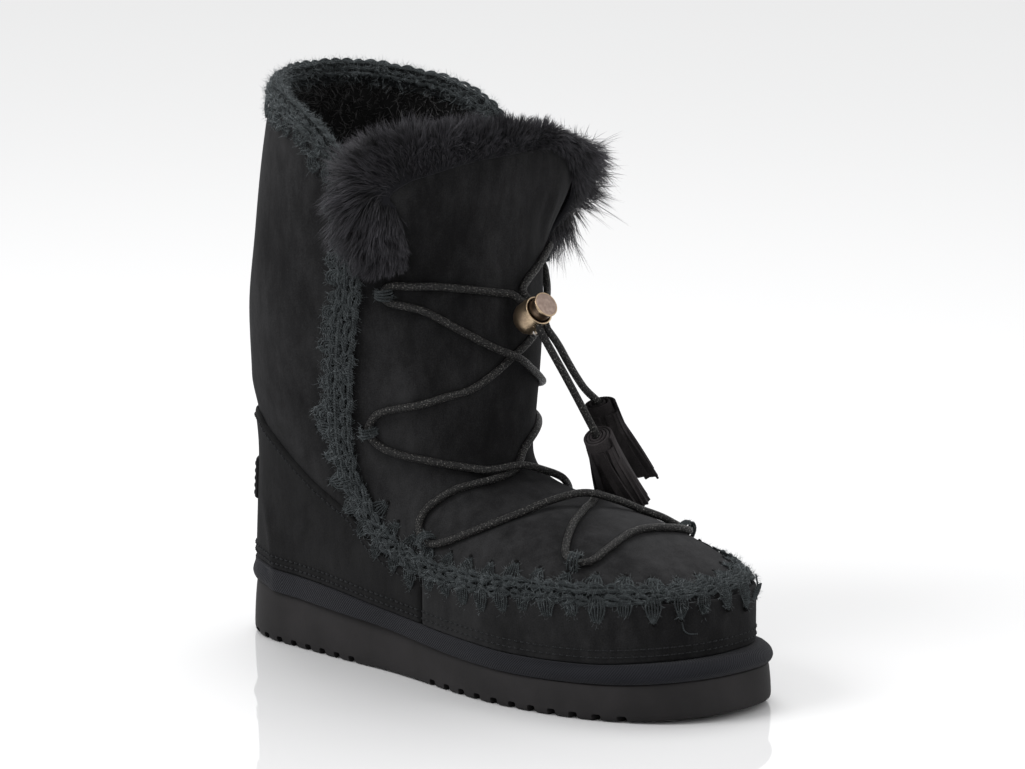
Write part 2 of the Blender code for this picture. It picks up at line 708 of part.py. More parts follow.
def turned(profile, segments):
    """Mesh of a profile of radius and height, turned round Z; both of its ends lie on the axis."""
    made = bmesh.new()
    points = [made.verts.new((radius * MM, 0.0, height * MM)) for radius, height in profile]
    edges = [made.edges.new(pair) for pair in zip(points, points[1:])]
    bmesh.ops.spin(made, geom=points + edges, cent=(0, 0, 0), axis=(0, 0, 1), angle=2 * math.pi,
                   steps=segments, use_merge=True, use_duplicate=False)
    return finish(made)


def tube(name, path, radius, looks, parent):
    """Cord with round section and filled ends through points in millimetres."""
    curve = bpy.data.curves.new(name, "CURVE")
    curve.dimensions = "3D"
    curve.bevel_depth = radius * MM
    curve.bevel_resolution = 2
    curve.use_fill_caps = True
    line = curve.splines.new("POLY")
    line.points.add(len(path) - 1)
    for point, place in zip(line.points, path):
        point.co = (*(place * MM), 1.0)
    return add_object(name, curve, looks, parent)


def floor_cutter(name, start, end, height, parent):
    """Hidden box across the sole that cuts from below, from one x to another and up to a height."""
    outline = [(start, CUTTER_LOW), (end, CUTTER_LOW), (end, height), (start, height)]
    return prism_cutter(name, outline, parent)


def prism_cutter(name, outline, parent):
    """Hidden prism that runs along Y through the whole boot, with its outline given in x and height."""
    rows = [[(x, y, z) for x, z in outline] for y in (-CUTTER_SIDE, CUTTER_SIDE)]
    cutter = bpy.data.objects.new(name, loft(np.array(rows, float)))
    bpy.context.scene.collection.objects.link(cutter)
    cutter.parent = parent
    cutter.hide_render = True
    cutter.display_type = "WIRE"
    return cutter


def cut(target, cutter):
    modifier = target.modifiers.new(cutter.name, "BOOLEAN")
    modifier.operation = "DIFFERENCE"
    modifier.solver = "EXACT"
    modifier.object = cutter


def outsole(root):
    stations = round_foot(10, 6, 14)
    outline = sole_at(stations)
    spine = np.stack([stations[:, 0], inswing(stations[:, 0])], -1)
    low, high = sole_underside(outline[:, 0]), rubber_top(outline[:, 0])
    inset = sole_at(stations, -SOLE_INSET)
    under = sole_underside(inset[:, 0])
    rows = [np.column_stack([spine, sole_underside(spine[:, 0])]), with_height(inset, under)]
    for part, stand_out in RUBBER_EDGE:
        rows.append(with_height(sole_at(stations, stand_out), low + (high - low) * part))
    rows += [with_height(inset, rubber_top(inset[:, 0])), np.column_stack([spine, rubber_top(spine[:, 0])])]
    made = add_object("outsole", ring_of(rows), (RUBBER, 0.6), root)
    for place, start, count, pitch in GROOVES:
        for groove in range(count):
            middle = start + pitch * groove
            edges = (middle - GROOVE_WIDTH / 2, middle + GROOVE_WIDTH / 2)
            cut(made, floor_cutter(f"{place}_groove_{groove + 1}", *edges, GROOVE_DEPTH, root))
    cut(made, floor_cutter("shank_relief", SHANK_START, SHANK_END, SHANK_RELIEF, root))


def ring_of(rows, edge_angle=40.0):
    """Mesh of closed rows that lie round the shoe; the first and last row shrink to the middle line."""
    rows = np.asarray(rows)
    made = bmesh.new()
    points = [[made.verts.new(point * MM) for point in row] for row in rows]
    size = rows.shape[1]
    for near, far in zip(points, points[1:]):
        for here in range(size):
            there = (here + 1) % size
            made.faces.new((near[here], near[there], far[there], far[here]))
    return finish(made, edge_angle)


def welt(root):
    stations = round_foot(12, 7, 14)
    foot = rubber_top(sole_at(stations)[:, 0]) + GAP
    top = welt_top(upper_at(stations, 30.0)[:, 0])
    start, way = spokes(stations, 0.0)
    inner = [upper_at(stations, height, FACET_GAP) for height in (top, (top + foot) / 2, foot)]
    rows = []
    for part, stand_out in WELT_EDGE:
        outer = ((sole_at(stations, stand_out) - start) * way).sum(1)
        least = ((inner[2] - start) * way).sum(1) + WELT_LIP
        rows.append(with_height(start + way * np.maximum(outer, least)[:, None], foot + (top - foot) * part))
    rows.append(with_height(inner[0] + way * WELT_LIP, top))
    rows += [with_height(inner[0], top), with_height(inner[1], (top + foot) / 2), with_height(inner[2], foot)]
    add_object("welt", loft(np.swapaxes(rows, 0, 1), rows_closed=True, edge_angle=60.0), (WELT, 0.75), root)


def insole(root):
    stations = round_foot(12, 12, 14)
    base = rubber_top(upper_at(stations, 30.0)[:, 0]) + GAP
    edge = [upper_at(stations, base + rise, -UPPER_WALL - INSOLE_GAP) for rise in (0.0, INSOLE_HEIGHT)]
    spine = np.stack([stations[:, 0], inswing(stations[:, 0])], -1)
    middle = rubber_top(spine[:, 0]) + GAP
    rows = [
        np.column_stack([spine, middle]),
        with_height(edge[0], base),
        with_height(edge[1], base + INSOLE_HEIGHT),
        np.column_stack([spine, middle + INSOLE_HEIGHT]),
    ]
    add_object("insole", ring_of(rows), (LINING, 0.95), root)


def upper(root):
    turns = np.radians([-turn for turn in UPPER_TURNS[:0:-1]] + list(UPPER_TURNS[:-1]))
    outer = [on_upper(ring, turns) for ring in UPPER_RINGS]
    inner = [on_upper(ring, turns, -UPPER_WALL) for ring in UPPER_RINGS]
    inner[0][:, 2] = outer[0][:, 2]
    rows = np.swapaxes(outer + inner[::-1], 0, 1)
    made = add_object("upper", loft(rows, rows_closed=True, edge_angle=50.0), (SUEDE, 0.9), root)
    (back_low, front_low, low), (back_high, front_high, high) = SLIT
    outline = [(back_low, low), (front_low, low), (front_high, high), (back_high, high)]
    cut(made, prism_cutter("collar_slit", outline, root))


def plate(name, stations, low, high, levels, lifts, looks, root):
    """Overlay on the upper between two heights at each station, from one lift to another."""
    heights = [low + (high - low) * level / (levels - 1) for level in range(levels)]
    outer = [upper_at(stations, height, lifts[1]) for height in heights]
    inner = [upper_at(stations, height, lifts[0]) for height in reversed(heights)]
    add_object(name, loft(np.swapaxes(outer + inner, 0, 1)), looks, root)


def overlays(root):
    lifts = (FACET_GAP, FACET_GAP + OVERLAY)
    stations = round_heel(QUARTER_SEAM - QUARTER_GAP / 2, 6, 14)
    low = welt_top(upper_at(stations, 30.0)[:, 0]) + WELT_CLEAR
    high = read(COUNTER_TOP, upper_at(stations, 60.0)[:, 0], 1)
    plate("heel_counter", stations, low, high, 5, lifts, (SUEDE, 0.9), root)
    stations = round_toe(QUARTER_SEAM + QUARTER_GAP / 2, 6, 16)
    low = welt_top(upper_at(stations, 30.0)[:, 0]) + WELT_CLEAR
    high = read(TOE_WALL_TOP, upper_at(stations, 40.0)[:, 0], 1)
    plate("toe_wall", stations, low, high, 3, lifts, (SUEDE, 0.9), root)
    turns = np.linspace(-180.0 - TAB_HALF_TURN, -180.0 + TAB_HALF_TURN, 9)
    stations = np.array([(0.0, turn) for turn in turns])
    lifts = (lifts[1] + FACET_GAP, lifts[1] + FACET_GAP + OVERLAY)
    plate("heel_tab", stations, np.full(9, TAB_LOW), np.full(9, TAB_HIGH), 3, lifts, (SUEDE, 0.85), root)


def strip(name, path, section, looks, root, reach=1, at_edge=False):
    """Solid that follows a path on the upper; a section holds how far across and how high each corner is."""
    normals = normal_at(path)[:, None]
    across = frames(path, normals[:, 0], reach)[:, None]
    section = np.array(section, float)
    flat = path[:, None] + across * section[..., :1]
    foot = settle(flat)
    rows = foot + normal_at(foot) * section[..., 1:]
    if at_edge:
        rows = np.where(section[..., :1] > 0, flat + normals * section[..., 1:], rows)
    add_object(name, loft(rows, edge_angle=60.0), looks, root)


def seam_path():
    """Points of the crochet seam, down the outer side, round the toe and up the inner side."""
    side = [(x, height) for x, height, half in SEAM]
    low = [upper_at(np.array([(x, -90.0)]), height)[0] for x, height in side]
    turns = np.linspace(-SEAM_TOE_TURN, SEAM_TOE_TURN, 9)
    stations = np.array([(TOE_CENTRE, turn) for turn in turns])
    rise = SEAM[-1][1] + (SEAM_AT_TOE - SEAM[-1][1]) * np.cos(np.radians(turns))
    toe = list(upper_at(stations, rise))
    high = [upper_at(np.array([(x, 90.0)]), height)[0] for x, height in reversed(side)]
    return along(low + toe + high, SEAM_STEP)


def crochet_seam(root):
    path = settle(seam_path())
    height = np.array([row[1] for row in SEAM], float)[::-1]
    widths = np.array([row[2] for row in SEAM], float)[::-1]
    section = [[(half * across, SEAM_LIFT + SEAM_HEIGHT * up) for across, up in SEAM_SECTION]
               for half in np.interp(path[:, 2], height, widths)]
    strip("crochet_seam", path, section, (YARN, 0.9), root)


def collar_braid(root):
    side = [turn for turn in UPPER_TURNS if turn >= BRAID_TURN]
    path = on_upper(LAST_RING, np.radians(side + [-turn for turn in side[-2::-1]]))
    strip("collar_braid", path, [BRAID_SECTION] * len(path), (YARN, 0.9), root, at_edge=True)


def fur_path():
    """Points of the front flap's edge, from the foot of the outer side over the top to the inner side."""
    outer = [upper_at(np.array([(FUR_LEG_X, -90.0)]), height)[0] for height in FUR_OUTER_LEG]
    inner = [upper_at(np.array([(FUR_LEG_X, 90.0)]), height)[0] for height in reversed(FUR_INNER_LEG)]
    rim = on_upper(LAST_RING, np.radians([-turn for turn in FUR_OUTER_RIM] + list(FUR_INNER_RIM)))
    return along(outer + list(rim) + inner, FUR_STEP)


def fur_trim(root):
    path = fur_path()
    ways, *columns = zip(*FUR_ALONG)
    section = []
    for station in range(len(path)):
        way = station / (len(path) - 1)
        width, room, thick = (np.interp(way, ways, column) for column in columns)
        taper = min(1.0, FUR_END + 10.0 * min(way, 1.0 - way))
        corners = []
        for corner, (across, up, lock) in enumerate(FUR_SECTION):
            tuft = FUR_LOCK * lock * taper * abs(math.sin(1.9 * station + 2.4 * corner))
            far = math.hypot(across, up)
            sideways = across + tuft * across / far
            if across > FUR_CHANNEL:
                sideways = FUR_CHANNEL + FUR_WALL + (sideways - FUR_CHANNEL - FUR_WALL) * room
            elif across < 0 < up:
                sideways = sideways * width / FUR_WIDTH
            outward = up + tuft * up / far
            if lock and up > 0:
                outward = max(outward * thick * taper, FUR_LIFT)
            corners.append((sideways, outward))
        section.append(corners)
    strip("fur_trim", path, section, (FUR, 0.95), root, reach=2, at_edge=True)


def lock_place():
    """Matrix of the cord lock: its Z runs out of the open front, and its Y across the boot."""
    yaw = Matrix.Rotation(math.radians(LOCK_YAW), 4, "Z")
    lean = Matrix.Rotation(math.radians(90.0 - LOCK_TILT), 4, "Y")
    return Matrix.Translation(Vector(LOCK_CENTRE) * MM) @ yaw @ lean


def at_lock(sideways, up, out=1.0):
    """A point in millimetres beside the lock: across the boot, above its barrel and along it."""
    return np.array(lock_place() @ (Vector((-up, sideways, out)) * MM)) / MM


def bent_tube(name, path, radius, sides, looks, parent):
    """Round bar with flat ends along points in millimetres."""
    path = np.asarray(path)
    ahead = np.gradient(path, axis=0)
    ahead = ahead / np.linalg.norm(ahead, axis=1, keepdims=True)
    side = np.cross(ahead[0], (0.3, 0.2, 1.0))
    turns = 2 * np.pi * np.arange(sides) / sides
    rows = []
    for point, way in zip(path, ahead):
        side = side - way * (side @ way)
        side = side / np.linalg.norm(side)
        lift = np.cross(way, side)
        rows.append(point + radius * (np.outer(np.cos(turns), side) + np.outer(np.sin(turns), lift)))
    return add_object(name, loft(rows, edge_angle=75.0), looks, parent)


def lace(root):
    table = np.array(LACE)
    points = settle(table[:, :3], table[:, 3])
    start = at_lock(-CORD_SPACING / 2, LOCK_RADIUS + CORD_CLEAR)
    end = at_lock(CORD_SPACING / 2, LOCK_RADIUS + CORD_CLEAR)
    bent_tube("lace_crossings", [start, *points, end], LACE_RADIUS, 6, (LEATHER, 0.5), root)
    for number, row in enumerate(np.flatnonzero(table[:, 4]), 1):
        foot = settle(points[row])
        up = normal_at(foot)
        across = np.cross(up, points[row + 1] - points[row - 1])
        across = across / np.linalg.norm(across)
        turns = [math.pi * step / LOOP_STEPS for step in range(LOOP_STEPS + 1)]
        places = [(LOOP_HALF_WIDTH * math.cos(turn), LOOP_FOOT + LOOP_RISE * math.sin(turn)) for turn in turns]
        arch = [foot + across * sideways + up * rise for sideways, rise in places]
        bent_tube(f"lace_loop_{number}", arch, LOOP_RADIUS, 5, (YARN, 0.9), root)


def cord_lock(root):
    arc = [math.pi / 2 * step / 5 for step in range(6)]
    dome = [(LOCK_RADIUS * math.sin(turn), -LOCK_RADIUS * math.cos(turn)) for turn in arc]
    barrel = [(LOCK_WAIST_RADIUS, LOCK_WAIST), (LOCK_MOUTH, LOCK_LENGTH)]
    bore = [(BORE_RADIUS, LOCK_LENGTH), (BORE_RADIUS, BORE_FLOOR), (0.0, BORE_FLOOR)]
    body = add_object("lock_body", turned(dome + barrel + bore, 20), (BRASS, 0.35, 1.0), root)
    body.matrix_local = lock_place()
    top = LOCK_LENGTH + BUTTON_PROUD
    low = BORE_FLOOR + BUTTON_TRAVEL + BUTTON_CLEAR
    neck = [(0.0, low), (BUTTON_NECK_RADIUS, low)]
    cap = [(BUTTON_NECK_RADIUS, top - BUTTON_CAP), (BUTTON_CAP_RADIUS, top - BUTTON_CAP + BUTTON_EDGE)]
    face = [(BUTTON_CAP_RADIUS, top - BUTTON_EDGE), (BUTTON_CAP_RADIUS - BUTTON_EDGE, top), (0.0, top)]
    button = add_object("lock_button", turned(neck + cap + face, 20), (BRASS, 0.35, 1.0), root)
    button.matrix_local = lock_place()


def tassel(name, head, foot, form, root):
    """Rolled leather tassel that hangs from its head."""
    head, foot = np.array(head), np.array(foot)
    down = foot - head
    length = np.linalg.norm(down)
    down = down / length
    head_width, head_depth, foot_width, turn = form
    wide = np.array([math.cos(math.radians(turn)), math.sin(math.radians(turn)), 0.0])
    wide = wide - down * (wide @ down)
    wide = wide / np.linalg.norm(wide)
    deep = np.cross(down, wide)
    corners = 3 * TASSEL_STRIPS
    rows = []
    for part, opened, groove in TASSEL:
        half_width = head_width + (foot_width - head_width) * opened
        half_depth = head_depth * (1.0 + opened * (TASSEL_THIN - 1.0))
        row = []
        for corner in range(corners):
            angle = 2 * math.pi * corner / corners
            inset = 1.0 - groove if corner % 3 == 0 else 1.0
            uneven = TASSEL_UNEVEN * math.sin(2.3 * (corner // 3)) if part == 1.0 else 0.0
            row.append(head + down * (part * length + uneven) + wide * half_width * inset * math.cos(angle)
                       + deep * half_depth * inset * math.sin(angle))
        rows.append(row)
    add_object(name, loft(rows, fan_caps=True), (LEATHER, 0.6), root)


def hanging_ends(root):
    ends = (
        ("front", CORD_FRONT, -CORD_SPACING / 2, TASSEL_FRONT_FOOT, TASSEL_FRONT),
        ("back", CORD_BACK, CORD_SPACING / 2, TASSEL_BACK_FOOT, TASSEL_BACK),
    )
    for name, route, sideways, foot, form in ends:
        start = at_lock(sideways, -LOCK_RADIUS - CORD_CLEAR, CORD_EXIT)
        path = along(np.concatenate([[start], np.array(route)]), CORD_STEP)
        tube(f"cord_end_{name}", path, LACE_RADIUS, (LEATHER, 0.5), root)
        down = np.array(foot) - path[-1]
        head = path[-1] + down / np.linalg.norm(down) * TASSEL_START
        tassel(f"tassel_{name}", head, foot, form, root)


def main():
    for item in list(bpy.data.objects):
        bpy.data.objects.remove(item, do_unlink=True)
    root = bpy.data.objects.new("mukluk_boot", None)
    bpy.context.scene.collection.objects.link(root)
    outsole(root)
    welt(root)
    insole(root)
    upper(root)
    overlays(root)
    crochet_seam(root)
    collar_braid(root)
    fur_trim(root)
    lace(root)
    cord_lock(root)
    hanging_ends(root)


main()
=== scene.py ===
# %% [markdown]
# # A winter mukluk boot
# The boot stands on a thick ribbed sole. Above it come a twill welt, a suede upper, crochet seams in thick
# yarn, a fur collar, one long leather lace, and a brass cord lock with two tassels. This notebook dresses the
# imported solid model, which loads first as a fixed frame. Lengths are in millimetres until a mesh is made.

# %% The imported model
import math

import bmesh
import bpy
import numpy as np
from mathutils import Matrix, Vector


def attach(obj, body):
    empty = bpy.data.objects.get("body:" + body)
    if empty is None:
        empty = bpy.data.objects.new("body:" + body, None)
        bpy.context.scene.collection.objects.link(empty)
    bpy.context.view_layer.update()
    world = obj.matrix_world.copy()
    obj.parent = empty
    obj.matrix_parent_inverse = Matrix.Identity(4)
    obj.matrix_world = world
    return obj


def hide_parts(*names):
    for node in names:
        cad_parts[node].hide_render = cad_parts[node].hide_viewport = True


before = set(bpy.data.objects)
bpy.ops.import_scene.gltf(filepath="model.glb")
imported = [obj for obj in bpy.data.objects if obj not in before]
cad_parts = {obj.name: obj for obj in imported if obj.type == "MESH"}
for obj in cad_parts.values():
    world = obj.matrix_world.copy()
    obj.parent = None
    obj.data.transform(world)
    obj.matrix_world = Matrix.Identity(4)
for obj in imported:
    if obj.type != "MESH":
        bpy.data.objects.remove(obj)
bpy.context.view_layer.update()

MM = 0.001
WELD_DISTANCE = 1e-6


def add_object(name, data):
    """A new object at the origin with its data, linked to the scene."""
    made = bpy.data.objects.new(name, data)
    bpy.context.scene.collection.objects.link(made)
    return made


# %% [markdown]
# ## Camera, light and floor
# A catalogue picture is taken from far away with a long lens, so the boot shows little perspective. The camera
# stands 2.5 m off, 44 degrees round to the outer side and 11 degrees above the floor. Big soft lamps and a
# white room light dark suede evenly, and a pale glossy floor gives back a faint reflection.

# %% Camera
AZIMUTH, ELEVATION, DISTANCE = math.radians(44.28), math.radians(11.08), 2.5
TARGET = Vector((0.068, 0.0, 0.130))
SENSOR_WIDTH, LENS = 36.0, 195.47
AIM_RIGHT, AIM_DOWN = 0.010964, 0.001973
back = Vector((math.sin(AZIMUTH) * math.cos(ELEVATION), -math.cos(AZIMUTH) * math.cos(ELEVATION),
               math.sin(ELEVATION)))
right = Vector((math.cos(AZIMUTH), math.sin(AZIMUTH), 0.0))
up = back.cross(right)

camera = add_object("camera", bpy.data.cameras.new("camera"))
camera.data.sensor_width = SENSOR_WIDTH
camera.data.lens = LENS
camera.data.clip_start, camera.data.clip_end = 0.1, 20.0
aim = (-back + right * AIM_RIGHT - up * AIM_DOWN).normalized()
camera.location = TARGET + back * DISTANCE
side = aim.cross(up).normalized()
camera.matrix_world = Matrix.Translation(camera.location) @ Matrix(
    (side, side.cross(aim), -aim)).transposed().to_4x4()
bpy.context.scene.camera = camera


# %% Lamps and room
def lamp(name, place, look_at, size, power):
    """Square soft lamp."""
    made = add_object(name, bpy.data.lights.new(name, "AREA"))
    made.data.shape = "SQUARE"
    made.data.size = size
    made.data.energy = power
    made.location = place
    made.rotation_mode = "QUATERNION"
    made.rotation_quaternion = (Vector(look_at) - Vector(place)).to_track_quat("-Z", "Y")


lamp("key", (-0.5, -1.3, 1.5), (0.05, 0.0, 0.16), 0.9, 27.0)
lamp("fill", (1.7, 0.4, 0.8), (0.1, 0.0, 0.1), 0.7, 5.0)
lamp("top", (-0.3, 0.35, 1.8), (0.08, 0.0, 0.1), 0.8, 17.0)

room = bpy.data.worlds.new("room")
bpy.context.scene.world = room
room.use_nodes = True
room_light = room.node_tree.nodes["Background"].inputs
room_light["Color"].default_value = (1.0, 1.0, 1.0, 1.0)
room_light["Strength"].default_value = 1.0
bpy.context.scene.view_settings.view_transform = "Standard"

# %% [markdown]
# ## Shader expressions
# A shader formula reads better as a line of Python than as a chain of Math nodes. The class below wraps one
# socket. Adding or multiplying two wrapped sockets adds the Math node that does it.


# %% Socket class
MIX_FACTOR, MIX_LOW, MIX_HIGH, MIX_RESULT = 0, 6, 7, 2


def give(place, item):
    """Links a wrapped socket into an input, or sets a plain value there."""
    if isinstance(item, Value):
        place.id_data.links.new(item.socket, place)
    else:
        place.default_value = item


class Value:
    """One socket of a node tree, with Python's operators."""

    def __init__(self, socket):
        self.socket = socket
        self.tree = socket.id_data

    def join(self, operation, *items):
        """Adds a Math node that takes values and numbers in this order."""
        node = self.tree.nodes.new("ShaderNodeMath")
        node.operation = operation
        for place, item in zip(node.inputs, items):
            give(place, item)
        return Value(node.outputs[0])

    def __add__(self, other):
        return self.join("ADD", self, other)

    def __sub__(self, other):
        return self.join("SUBTRACT", self, other)

    def __rsub__(self, other):
        return self.join("SUBTRACT", other, self)

    def __mul__(self, other):
        return self.join("MULTIPLY", self, other)

    def __truediv__(self, other):
        return self.join("DIVIDE", self, other)

    def __pow__(self, other):
        return self.join("POWER", self, other)

    def sine(self):
        return self.join("SINE", self)

    def above(self, low, high):
        """0 below low, 1 above high and a soft step between."""
        return Nodes(self.tree).add("ShaderNodeMapRange", {"interpolation_type": "SMOOTHSTEP"},
                                    {"Value": self, "From Min": low, "From Max": high})["Result"]

    __radd__ = __add__
    __rmul__ = __mul__


class Nodes:
    """Adds nodes to a tree, with their settings first and then the values or links of their sockets."""

    def __init__(self, tree):
        self.tree = tree

    def add(self, kind, settings=None, sockets=None):
        node = self.tree.nodes.new(kind)
        for name, value in (settings or {}).items():
            if name == "stops":
                for _ in range(len(value) - len(node.color_ramp.elements)):
                    node.color_ramp.elements.new(1.0)
                for element, (place, colour) in zip(node.color_ramp.elements, value):
                    element.position = place
                    element.color = (*colour, 1.0)
            else:
                setattr(node, name, value)
        for name, value in (sockets or {}).items():
            give(next(item for item in node.inputs if item.name == name and item.enabled), value)
        return {item.name: Value(item) for item in node.outputs if item.enabled}


class Finish(Nodes):
    """A material around one Principled shader."""

    def __init__(self, name, **constants):
        self.material = bpy.data.materials.new(name)
        self.material.use_nodes = True
        super().__init__(self.material.node_tree)
        self.shader = self.tree.nodes["Principled BSDF"]
        for label, value in constants.items():
            self.shader.inputs[label.replace("_", " ").title().replace("Ior", "IOR")].default_value = value

    def where(self, kind="Object"):
        return self.add("ShaderNodeTexCoord")[kind]

    def noise(self, scale, detail=3.0, roughness=0.6, at=None, stretch=None):
        at = at or self.where()
        if stretch:
            at = self.add("ShaderNodeMapping", None, {"Vector": at, "Scale": stretch})["Vector"]
        return self.add("ShaderNodeTexNoise", None, {"Vector": at, "Scale": scale, "Detail": detail,
                                                     "Roughness": roughness})["Fac"]

    def blend(self, low, high, factor):
        """Mixes two colours by a factor."""
        node = self.tree.nodes.new("ShaderNodeMix")
        node.data_type = "RGBA"
        for number, value in ((MIX_FACTOR, factor), (MIX_LOW, (*low, 1.0)), (MIX_HIGH, (*high, 1.0))):
            give(node.inputs[number], value)
        return Value(node.outputs[MIX_RESULT])

    def feed(self, label, value):
        self.tree.links.new(value.socket, self.shader.inputs[label])

    def bump(self, height, depth, strength=1.0):
        made = self.add("ShaderNodeBump", None, {"Height": height, "Distance": depth, "Strength": strength})
        self.feed("Normal", made["Normal"])


# %% Floor
floor_finish = Finish("pale_floor", base_color=(0.6, 0.6, 0.605, 1.0), roughness=0.03, ior=1.35)
floor = add_object("floor", bpy.data.meshes.new("floor"))
floor.data.from_pydata([(-6, -6, 0), (6, -6, 0), (6, 6, 0), (-6, 6, 0)], [], [(0, 1, 2, 3)])
floor.data.materials.append(floor_finish.material)

# %% [markdown]
# ## One form for the whole upper
# The shaft is a stack of level sections and the foot is a row of upright ones. Both are written as one field:
# negative inside, positive outside, zero on the suede. Every seam, overlay, lace and hair is then placed by
# asking the field where the surface is, so nothing floats and nothing sinks in. The sections began as a least
# squares fit to outlines measured in the photograph, both by helper scripts outside this notebook. They were then
# rounded and changed. The lines of the seam and the counter began as picked places that a helper script turned
# into points on that form.

# %% Tables of the form
SHAFT = (
    # height, back, front, half width, squareness
    (10, -38.0, 60, 36, 2.7),
    (30, -39.0, 75, 37, 2.7),
    (60, -37.5, 92, 41, 2.55),
    (90, -34.8, 100, 47, 2.35),
    (105, -36.2, 102, 50, 2.25),
    (122, -40.6, 104, 53.2, 2.15),
    (150, -40.3, 105, 57, 2.1),
    (190, -34.6, 104, 58, 2.1),
    (230, -29.2, 107, 57, 2.1),
    (248, -26.0, 107, 55.5, 2.1),
    (266, -22.0, 106, 53.0, 2.1),
)
FOOT = (
    # x, half width, top of the side wall, crest of the vamp
    (10, 30.0, 40, 66.0),
    (40, 37.0, 42, 74.0),
    (75, 43.0, 46, 81.0),
    (110, 48.0, 50, 85.0),
    (140, 50.5, 51, 82.0),
    (170, 51.0, 52, 75.5),
    (195, 51.0, 52, 66.5),
    (215, 51.0, 51, 58.5),
    (227, 51.0, 50, 53.0),
)
RINGS = (
    # ring, height at the back, front x, front height
    (0, 16.0, 226.0, 16.0),
    (1, 30.0, 227.0, 32.0),
    (2, 46.0, 226.0, 46.0),
    (3, 61.0, 217.0, 57.4),
    (4, 72.0, 205.0, 62.6),
    (5, 82.0, 189.0, 68.9),
    (6, 90.0, 171.0, 75.2),
    (7, 97.0, 151.0, 80.2),
    (8, 104.0, 131.0, 83.6),
    (9, 113.0, 116.0, 87.5),
    (10, 127.0, 107.5, 96.0),
    (11, 147.0, 105.5, 113.0),
    (12, 168.0, 105.0, 137.0),
    (13, 190.0, 105.0, 162.0),
    (14, 212.0, 106.0, 187.0),
    (15, 235.0, 107.0, 213.0),
    (16, 257.0, 107.0, 239.0),
)
COLLAR = (
    # turn from the toe in degrees, height of the rim on the outer side, on the inner side
    (0, 239.0, 239.0), (25, 239.0, 236.5), (36, 238.0, 230.5), (45, 236.0, 223.0), (52, 233.0, 214.0),
    (57, 227.0, 205.0), (62, 212.0, 197.0), (65.5, 217.0, 217.0), (69, 226.0, 226.0), (76, 233.0, 233.0),
    (88, 242.0, 242.0), (106, 249.5, 249.5), (130, 255.0, 255.0), (155, 259.0, 259.0), (180, 260.0, 260.0),
)
SOLE_SIDE = (
    # x, underside, top of the rubber, top of the welt
    (-42, 0.0, 25.5, 35.0),
    (0, 0.0, 24.0, 34.0),
    (40, 0.0, 22.5, 32.3),
    (65, 0.0, 21.2, 29.6),
    (90, 0.0, 19.2, 27.4),
    (120, 0.0, 17.0, 25.6),
    (155, 0.0, 15.7, 24.2),
    (190, 0.0, 15.9, 24.4),
    (213, 0.8, 17.0, 26.2),
    (237, 2.7, 19.5, 28.7),
)
FLAP_FLARE = 13.0
FLARE_RISE, FLARE_TURN, FLARE_X = (176.0, 220.0), (12.0, 48.0), (65.3, 68.8)


# %% Reading a table, and the field
def smooth(t):
    t = np.clip(t, 0.0, 1.0)
    return t * t * (3.0 - 2.0 * t)


def ramp(value, limits):
    """0 below the first limit, 1 above the second and a soft step between."""
    return smooth((value - limits[0]) / (limits[1] - limits[0]))


def read(table, key, column):
    """A column of a table at any key, on a curve that never overshoots its rows."""
    keys = np.array([row[0] for row in table], float)
    values = np.array([row[column] for row in table], float)
    slopes = np.diff(values) / np.diff(keys)
    tangent = np.gradient(values, keys)
    for row in range(len(keys)):
        near = slopes[max(row - 1, 0):row + 1]
        turns = np.any(np.sign(near) != np.sign(near[0]))
        limit = 0.0 if turns else 3.0 * np.min(np.abs(near))
        tangent[row] = np.clip(tangent[row], -limit, limit)
    key = np.clip(key, keys[0], keys[-1])
    row = np.clip(np.searchsorted(keys, key, side="right") - 1, 0, len(keys) - 2)
    step = keys[row + 1] - keys[row]
    t = (key - keys[row]) / step
    return ((2 * t**3 - 3 * t**2 + 1) * values[row] + (t**3 - 2 * t**2 + t) * step * tangent[row]
            + (3 * t**2 - 2 * t**3) * values[row + 1] + (t**3 - t**2) * step * tangent[row + 1])


def inswing(x):
    """How far the middle line of the foot lies to the inner side."""
    return 9.0 * np.clip((x - 108.0) / 122.0, 0.0, None)**2


def upper_field(points):
    """Negative inside the upper's outer form, positive outside."""
    x = points[..., 0]
    y = points[..., 1] - inswing(x)
    z = points[..., 2]
    level = np.clip(z, 10.0, 290.0)
    rear, front, half, square = (read(SHAFT, level, column) for column in (1, 2, 3, 4))
    middle = (front + rear) / 2
    turn = np.degrees(np.abs(np.arctan2(y, x - middle)))
    flare = ramp(z, FLARE_RISE) * ramp(turn, FLARE_TURN) * ramp(x, FLARE_X)
    length = (front - rear) / 2 + FLAP_FLARE * flare
    half = half + FLAP_FLARE * flare
    reach = ((np.abs(x - middle) / length)**square + (np.abs(y) / half)**square)**(1 / square)
    shaft = (reach - 1.0) * np.minimum(length, half)
    q = np.clip((x - 141.0) / 86.0, 0.0, 0.99999)
    width = read(FOOT, x, 1) * (1.0 - q**2.35)**(1.0 / 2.35)
    wall, crest = read(FOOT, x, 2), read(FOOT, x, 3)
    rise = np.clip((z - wall) / np.maximum(crest - wall, 1.0), 0.0, None)
    reach = ((np.abs(y) / np.maximum(width, 0.5))**2.1 + rise**2.1)**(1 / 2.1)
    scale = 45.0 * np.minimum(width / 30.0, 1.0)
    foot = np.maximum(np.maximum((reach - 1.0) * scale, x - 227.0), 5.0 - x)
    near = np.maximum(26.0 - np.abs(foot - shaft), 0.0) / 26.0
    return np.minimum(foot, shaft) - near * near * 26.0 / 4


